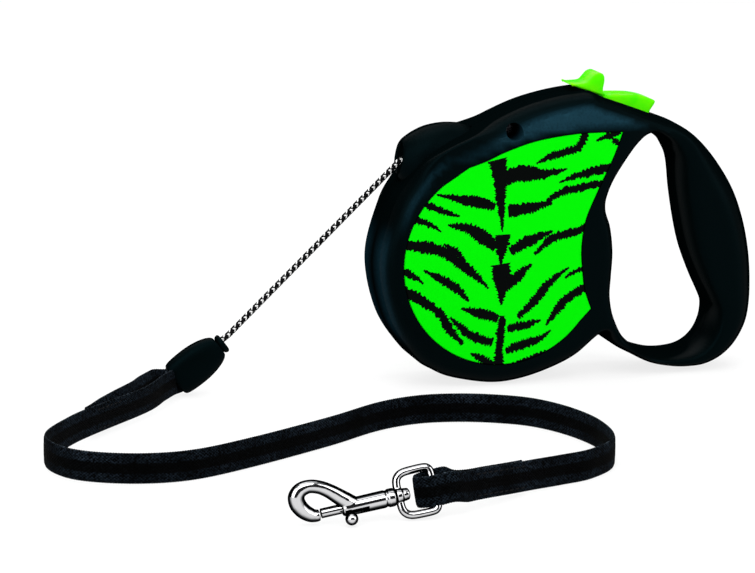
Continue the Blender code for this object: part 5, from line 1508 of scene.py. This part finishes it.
REAR = [([(-28.5, 78.5), (-22.5, 80), (-13.5, 79.5), (-4.5, 81)], [2.5, 2.9, 1.5, 0.2]),
        ([(-27, 66), (-19, 67), (-10, 68.5)], [2.3, 1.9, 0.4]),
        ([(-16.5, 83.5), (-9, 86.5), (-1, 88.5), (2.5, 94)], [0.3, 1.2, 1.4, 1.2]),
        ([(-7.5, 76), (0.5, 78.5), (15, 81.5)], [0.3, 1.4, 1.5]),
        ([(-13.5, 68), (-7.5, 72), (-0.5, 73.5), (13.5, 75.8)], [0.4, 1.3, 1.2, 0.8]),
        ([(-26, 51), (-19, 54.5), (-9.5, 58)], [1.5, 2.1, 0.3]),
        ([(-16.5, 49.5), (-10, 55), (-2, 57), (8.5, 60.6)], [0.4, 1.5, 1.3, 1.3]),
        ([(-28, 37), (-23.5, 41), (-17.5, 46)], [1.3, 2, 0.3]),
        ([(-22.5, 26), (-16.5, 31.5), (-10.5, 38.5), (-3, 44)], [0.8, 1.6, 1.3, 0.3]),
        ([(-4.5, 40), (-2, 41.5), (6.5, 45)], [0.3, 0.9, 0.8]),
        ([(-11.5, 22.5), (-6.5, 29), (-1.5, 33.5), (9, 38.2)], [0.3, 1.6, 1.5, 1]),
        ([(-26.5, 22), (-20, 23), (-13.5, 24.5)], [1.2, 1.4, 0.3]),
        ([(-27, 13.5), (-21, 15.5), (-14, 17.5), (-9.5, 20.5)], [1, 1.7, 1.3, 0.3]),
        ([(-26, 8), (-18, 9.5), (-11, 12.5)], [0.3, 1.2, 0.6]),
        ([(6.5, 91), (11, 92.5), (16, 94)], [0.3, 1, 0.8]),
        ([(16, 89.5), (14, 90.5), (12, 92.5)], [1, 0.9, 0.3])]
print("stripes drawn:", len(SPINE) + len(FRONT) + len(REAR))

# %% [markdown]
# Each stripe's edge is roughened by chance, with short hairs where it is thin. The chance has a
# fixed start, so the stripes are the same every time.

# %% Hairy edges of the stripes
HAIR = 0.75 * MM
HAIR_STEP = 0.34 * MM
chance = np.random.default_rng(7)


def stripe_outline(points, halves):
    """A band with a hairy edge along a line through points, in millimetres."""
    line = flat_curve(np.array(points) * MM, 12)
    even, run = even_line(np.insert(line, 1, 0.0, axis=1), HAIR_STEP)
    even = even[:, [0, 2]]
    half = np.interp(np.linspace(0, len(halves) - 1, len(even)), range(len(halves)), halves) * MM
    normal = outward(np.concatenate([even, even[::-1]]))[:len(even)]
    normal[0], normal[-1] = normal[1], normal[-2]
    sides = []
    for sign in (1, -1):
        hair = HAIR * chance.uniform(-0.5, 1.0, len(even)) * np.clip(half / (0.9 * MM), 0.25, 1.0)
        sides.append(even + sign * normal * (half + hair)[:, None])
    return np.concatenate([sides[0], sides[1][::-1]])


stripes = [stripe_outline(*row) for row in (*SPINE, *FRONT, *REAR)]
print("stripes:", len(stripes), "with", sum(len(s) for s in stripes), "edge points")

# %% [markdown]
# The face of the panel is cut into triangles along all of the stripes' edges. A triangle whose
# middle lies in a stripe is black. The open edges of the triangles, put in order, are the rim.

# %% Face of the panel
CHAMFER = 0.25 * MM
face_line = panel_line - outward(panel_line) * CHAMFER
spots, triangles = triangulated([face_line, *stripes], np.zeros((0, 2)), 1e-8)
centres = spots[triangles].mean(axis=1)
keep = inside(centres, [face_line])
triangles, centres = triangles[keep], centres[keep]
is_black = np.zeros(len(triangles), bool)
for line in stripes:
    is_black |= inside(centres, [line])
used = np.unique(triangles)
renumber = np.full(len(spots), -1)
renumber[used] = np.arange(len(used))
spots, triangles = spots[used], renumber[triangles]
owner = {(int(t[k]), int(t[(k + 1) % 3])): i for i, t in enumerate(triangles) for k in range(3)}
follows = {a: b for a, b in owner if (b, a) not in owner}
rim = [next(iter(follows))]
while len(rim) < len(follows):
    rim.append(follows[rim[-1]])
rim_out = spots[rim] + outward(spots[rim]) * CHAMFER
back_spots = spots.copy()
back_spots[rim] = rim_out
print("face triangles:", len(triangles), "of them black:", int(is_black.sum()))

# %% [markdown]
# Face, chamfered edge and underside make a closed plate a millimetre thick. Black stripes run over
# the edge, and the underside, which lies on the shell, is black.

# %% Striped panels
PANEL_FACE = 15.9 * MM
PANEL_UNDER = 14.9 * MM


def at_height(plane, y):
    """Points of the plane, in space at one Y value."""
    return np.stack([plane[:, 0], np.full(len(plane), y), plane[:, 1]], axis=1)


panel_green, _ = moulded("panel_green", (0.0010, 0.95, 0.0015), 0.45, 0.025, 0.5 * MM, 0.004 * MM)
panel_black, _ = moulded("panel_black", (0.0008, 0.0014, 0.0013), 0.45, 0.025, 0.5 * MM, 0.004 * MM)
count, ring = len(spots), len(rim)
for side, word in ((-1, "left"), (1, "right")):
    verts = np.concatenate([at_height(spots, side * PANEL_FACE), at_height(back_spots, side * PANEL_UNDER),
                            at_height(rim_out, side * (PANEL_FACE - CHAMFER))])
    faces = [tuple(int(k) for k in t) for t in triangles]
    faces += [tuple(int(k) + count for k in reversed(t)) for t in triangles]
    slots = [int(b) for b in is_black] + [1] * len(triangles)
    for i in range(ring):
        a, b, c, d = rim[i], rim[(i + 1) % ring], 2 * count + i, 2 * count + (i + 1) % ring
        faces += [(a, c, d, b), (c, a + count, b + count, d)]
        slots += [int(is_black[owner[a, b]])] * 2
    panel = cutter(f"striped_panel_{word}", verts, faces)
    panel.data.materials.append(panel_green)
    panel.data.materials.append(panel_black)
    panel.data.polygons.foreach_set("material_index", slots)
    seat(panel, "casing", f"side_panel_{word}")
print("panel faces:", len(faces))

# %% [markdown]
# ## The buttons
# The brake and the lock slide are moulded in clear lime plastic that lets some light through, so it
# has some subsurface light, and its colour drifts between two limes.

# %% Lime plastic
button_lime, shader = moulded("button_lime", (0.095, 0.95, 0.001), 0.28, 0.04, 0.6 * MM, 0.01 * MM)
drift = spread(button_lime, noise(button_lime, 7 * MM), 0.0, 1.0)
lime_tones = mixed(button_lime, drift, (0.045, 0.94, 0.0004, 1), (0.16, 0.96, 0.001, 1))
wire(button_lime, lime_tones, shader.inputs["Base Color"])
shader.inputs["Subsurface Weight"].default_value = 0.5
shader.inputs["Subsurface Radius"].default_value = (0.6, 1.0, 0.3)
shader.inputs["Subsurface Scale"].default_value = 2 * MM
print("finish:", button_lime.name)

# %% [markdown]
# The side view of each button is drawn on the sloping bed, and the plate gives it soft edges. The
# lock slide also has a stem that goes through its slot and a foot that keeps it in.

# %% Brake and lock
LOCK = [(-13.7, 0.6), (-10.8, 1.7), (-8.0, 3.0), (-7.0, 4.8), (-6.0, 6.9), (-4.4, 8.0), (-2.6, 7.7),
        (-1.5, 5.7), (-1.1, 3.2)]
BRAKE = [(1.2, 1.2), (6.0, 2.8), (11.4, 4.4), (16.0, 5.1), (19.5, 5.0), (20.3, 4.2), (19.6, 1.2)]
BUTTON_HALF = 5.5 * MM
BUTTON_EDGE = 0.7 * MM


def button(name, outline):
    """A moulded button with soft edges, from its side view in millimetres."""
    line = np.array(outline, float) * MM
    width = np.full(len(line), BUTTON_EDGE)
    return plate(name, [(line, width, width)], lambda p: np.full(len(p), BUTTON_HALF), 1.5 * MM, 5,
                 button_lime)


brake_side = [(19.2, -2.4), *flat_curve(BRAKE, 6)[::-1], (0.6, 1.2), (0.6, -2.4)]
thumb_brake = button("thumb_brake", brake_side)
lock_side = [(-0.3, 0.3), *flat_curve(LOCK, 6)[::-1], (-13.7, 0.3)]
thumb_lock = button("thumb_lock", lock_side)
stem = prism("stem", rectangle(*np.array((-7.8, -5.1, -4.0, 2.0)) * MM), -2 * MM, 2 * MM)
foot = prism("foot", rectangle(*np.array((-8.3, -6.0, -3.5, -4.2)) * MM), -4.5 * MM, 4.5 * MM)
cut(thumb_lock, stem, foot, operation="UNION")
discard(stem, foot)
for piece, node, body in ((thumb_brake, "brake_button", "brake"), (thumb_lock, "lock_slide", "lock")):
    piece.data.transform(bed_place)
    seat(piece, body, node)
    print(piece.name, len(piece.data.polygons), "faces")

# %% [markdown]
# The spring that lifts the brake is wound like the one of the bolt, upright on the sloping bed.

# %% Coil spring of the brake
bed_up = np.array(bed_place.to_3x3() @ Vector((0, 0, 1)))
lifting_coil = coil_spring("lifting_coil", "brake_spring", "casing", bed_up, 2.0 * MM,
                           0.3 * MM, 4.5)

# %% [markdown]
# ## Pieces that show as the solids
# Reel, leaf spring and pawl are hidden in the casing, and the pin, the eyelet and the bolt with its
# knob are plain turned pieces. Their solids show as they are, with flat facets. A small
# geometry-nodes modifier welds them and shades them smooth where the angle between two faces is
# shallow, and leaves the solids themselves alone.

# %% Smooth shading for the solids
SHARP_ANGLE = math.radians(35)
shading = bpy.data.node_groups.new("smooth_shading", "GeometryNodeTree")
shading.interface.new_socket("Geometry", in_out="INPUT", socket_type="NodeSocketGeometry")
shading.interface.new_socket("Geometry", in_out="OUTPUT", socket_type="NodeSocketGeometry")
chain = [shading.nodes.new(kind) for kind in (
    "NodeGroupInput", "GeometryNodeRemoveAttribute", "GeometryNodeMergeByDistance",
    "GeometryNodeSetShadeSmooth", "GeometryNodeSetShadeSmooth", "NodeGroupOutput")]
group_in, forget, weld, faces_smooth, edges_sharp, group_out = chain
forget.inputs["Name"].default_value = "custom_normal"
weld.inputs["Distance"].default_value = 0.002 * MM
edges_sharp.domain = "EDGE"
edges_sharp.inputs["Shade Smooth"].default_value = False
bend = shading.nodes.new("GeometryNodeInputMeshEdgeAngle")
steep = shading.nodes.new("FunctionNodeCompare")
steep.operation = "GREATER_THAN"
steep.inputs["B"].default_value = SHARP_ANGLE
shading.links.new(bend.outputs["Unsigned Angle"], steep.inputs["A"])
shading.links.new(steep.outputs["Result"], edges_sharp.inputs["Selection"])
for a, b in zip(chain, chain[1:]):
    shading.links.new(a.outputs[0], b.inputs["Geometry"])

print("shading nodes:", len(shading.nodes))

# %% [markdown]
# Drum, washers and pawl are pale nylon, axle, pin and springs are steel, and the wound cord is dull.
# The eyelet is a little darker and more polished than the rest, because the cord rubs it.

# %% Finishes of the solids
nylon, _ = moulded("nylon", (0.70, 0.69, 0.64), 0.45, 0.4)
wound_cord = fibre("wound_cord", (0.014, 0.014, 0.016), 0.75, 0.25, 0.8 * MM, 0.15 * MM)
eyelet_steel = metal("eyelet_steel", (0.42, 0.43, 0.44), 0.15, 0.28)
SOLIDS = [("nylon", nylon, ["reel_washer_left", "reel_washer_right", "reel_drum", "reel_cover",
                            "brake_pawl"]),
          ("steel", steel, ["reel_axle", "mainspring", "lock_spring", "connector_pin"]),
          ("steel", eyelet_steel, ["nose_eyelet"]),
          ("cord", wound_cord, ["cord_winding", "feed_cord"]),
          ("chrome", chrome, ["hook_bolt", "bolt_knob"])]
for slot_name, finish, names in SOLIDS:
    for name in names:
        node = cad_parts[name]
        node.data.materials.clear()
        node.data.materials.append(finish)
        node.modifiers.new("smooth_shading", "NODES").node_group = shading
print("solids that show:", sum(len(names) for _, _, names in SOLIDS))
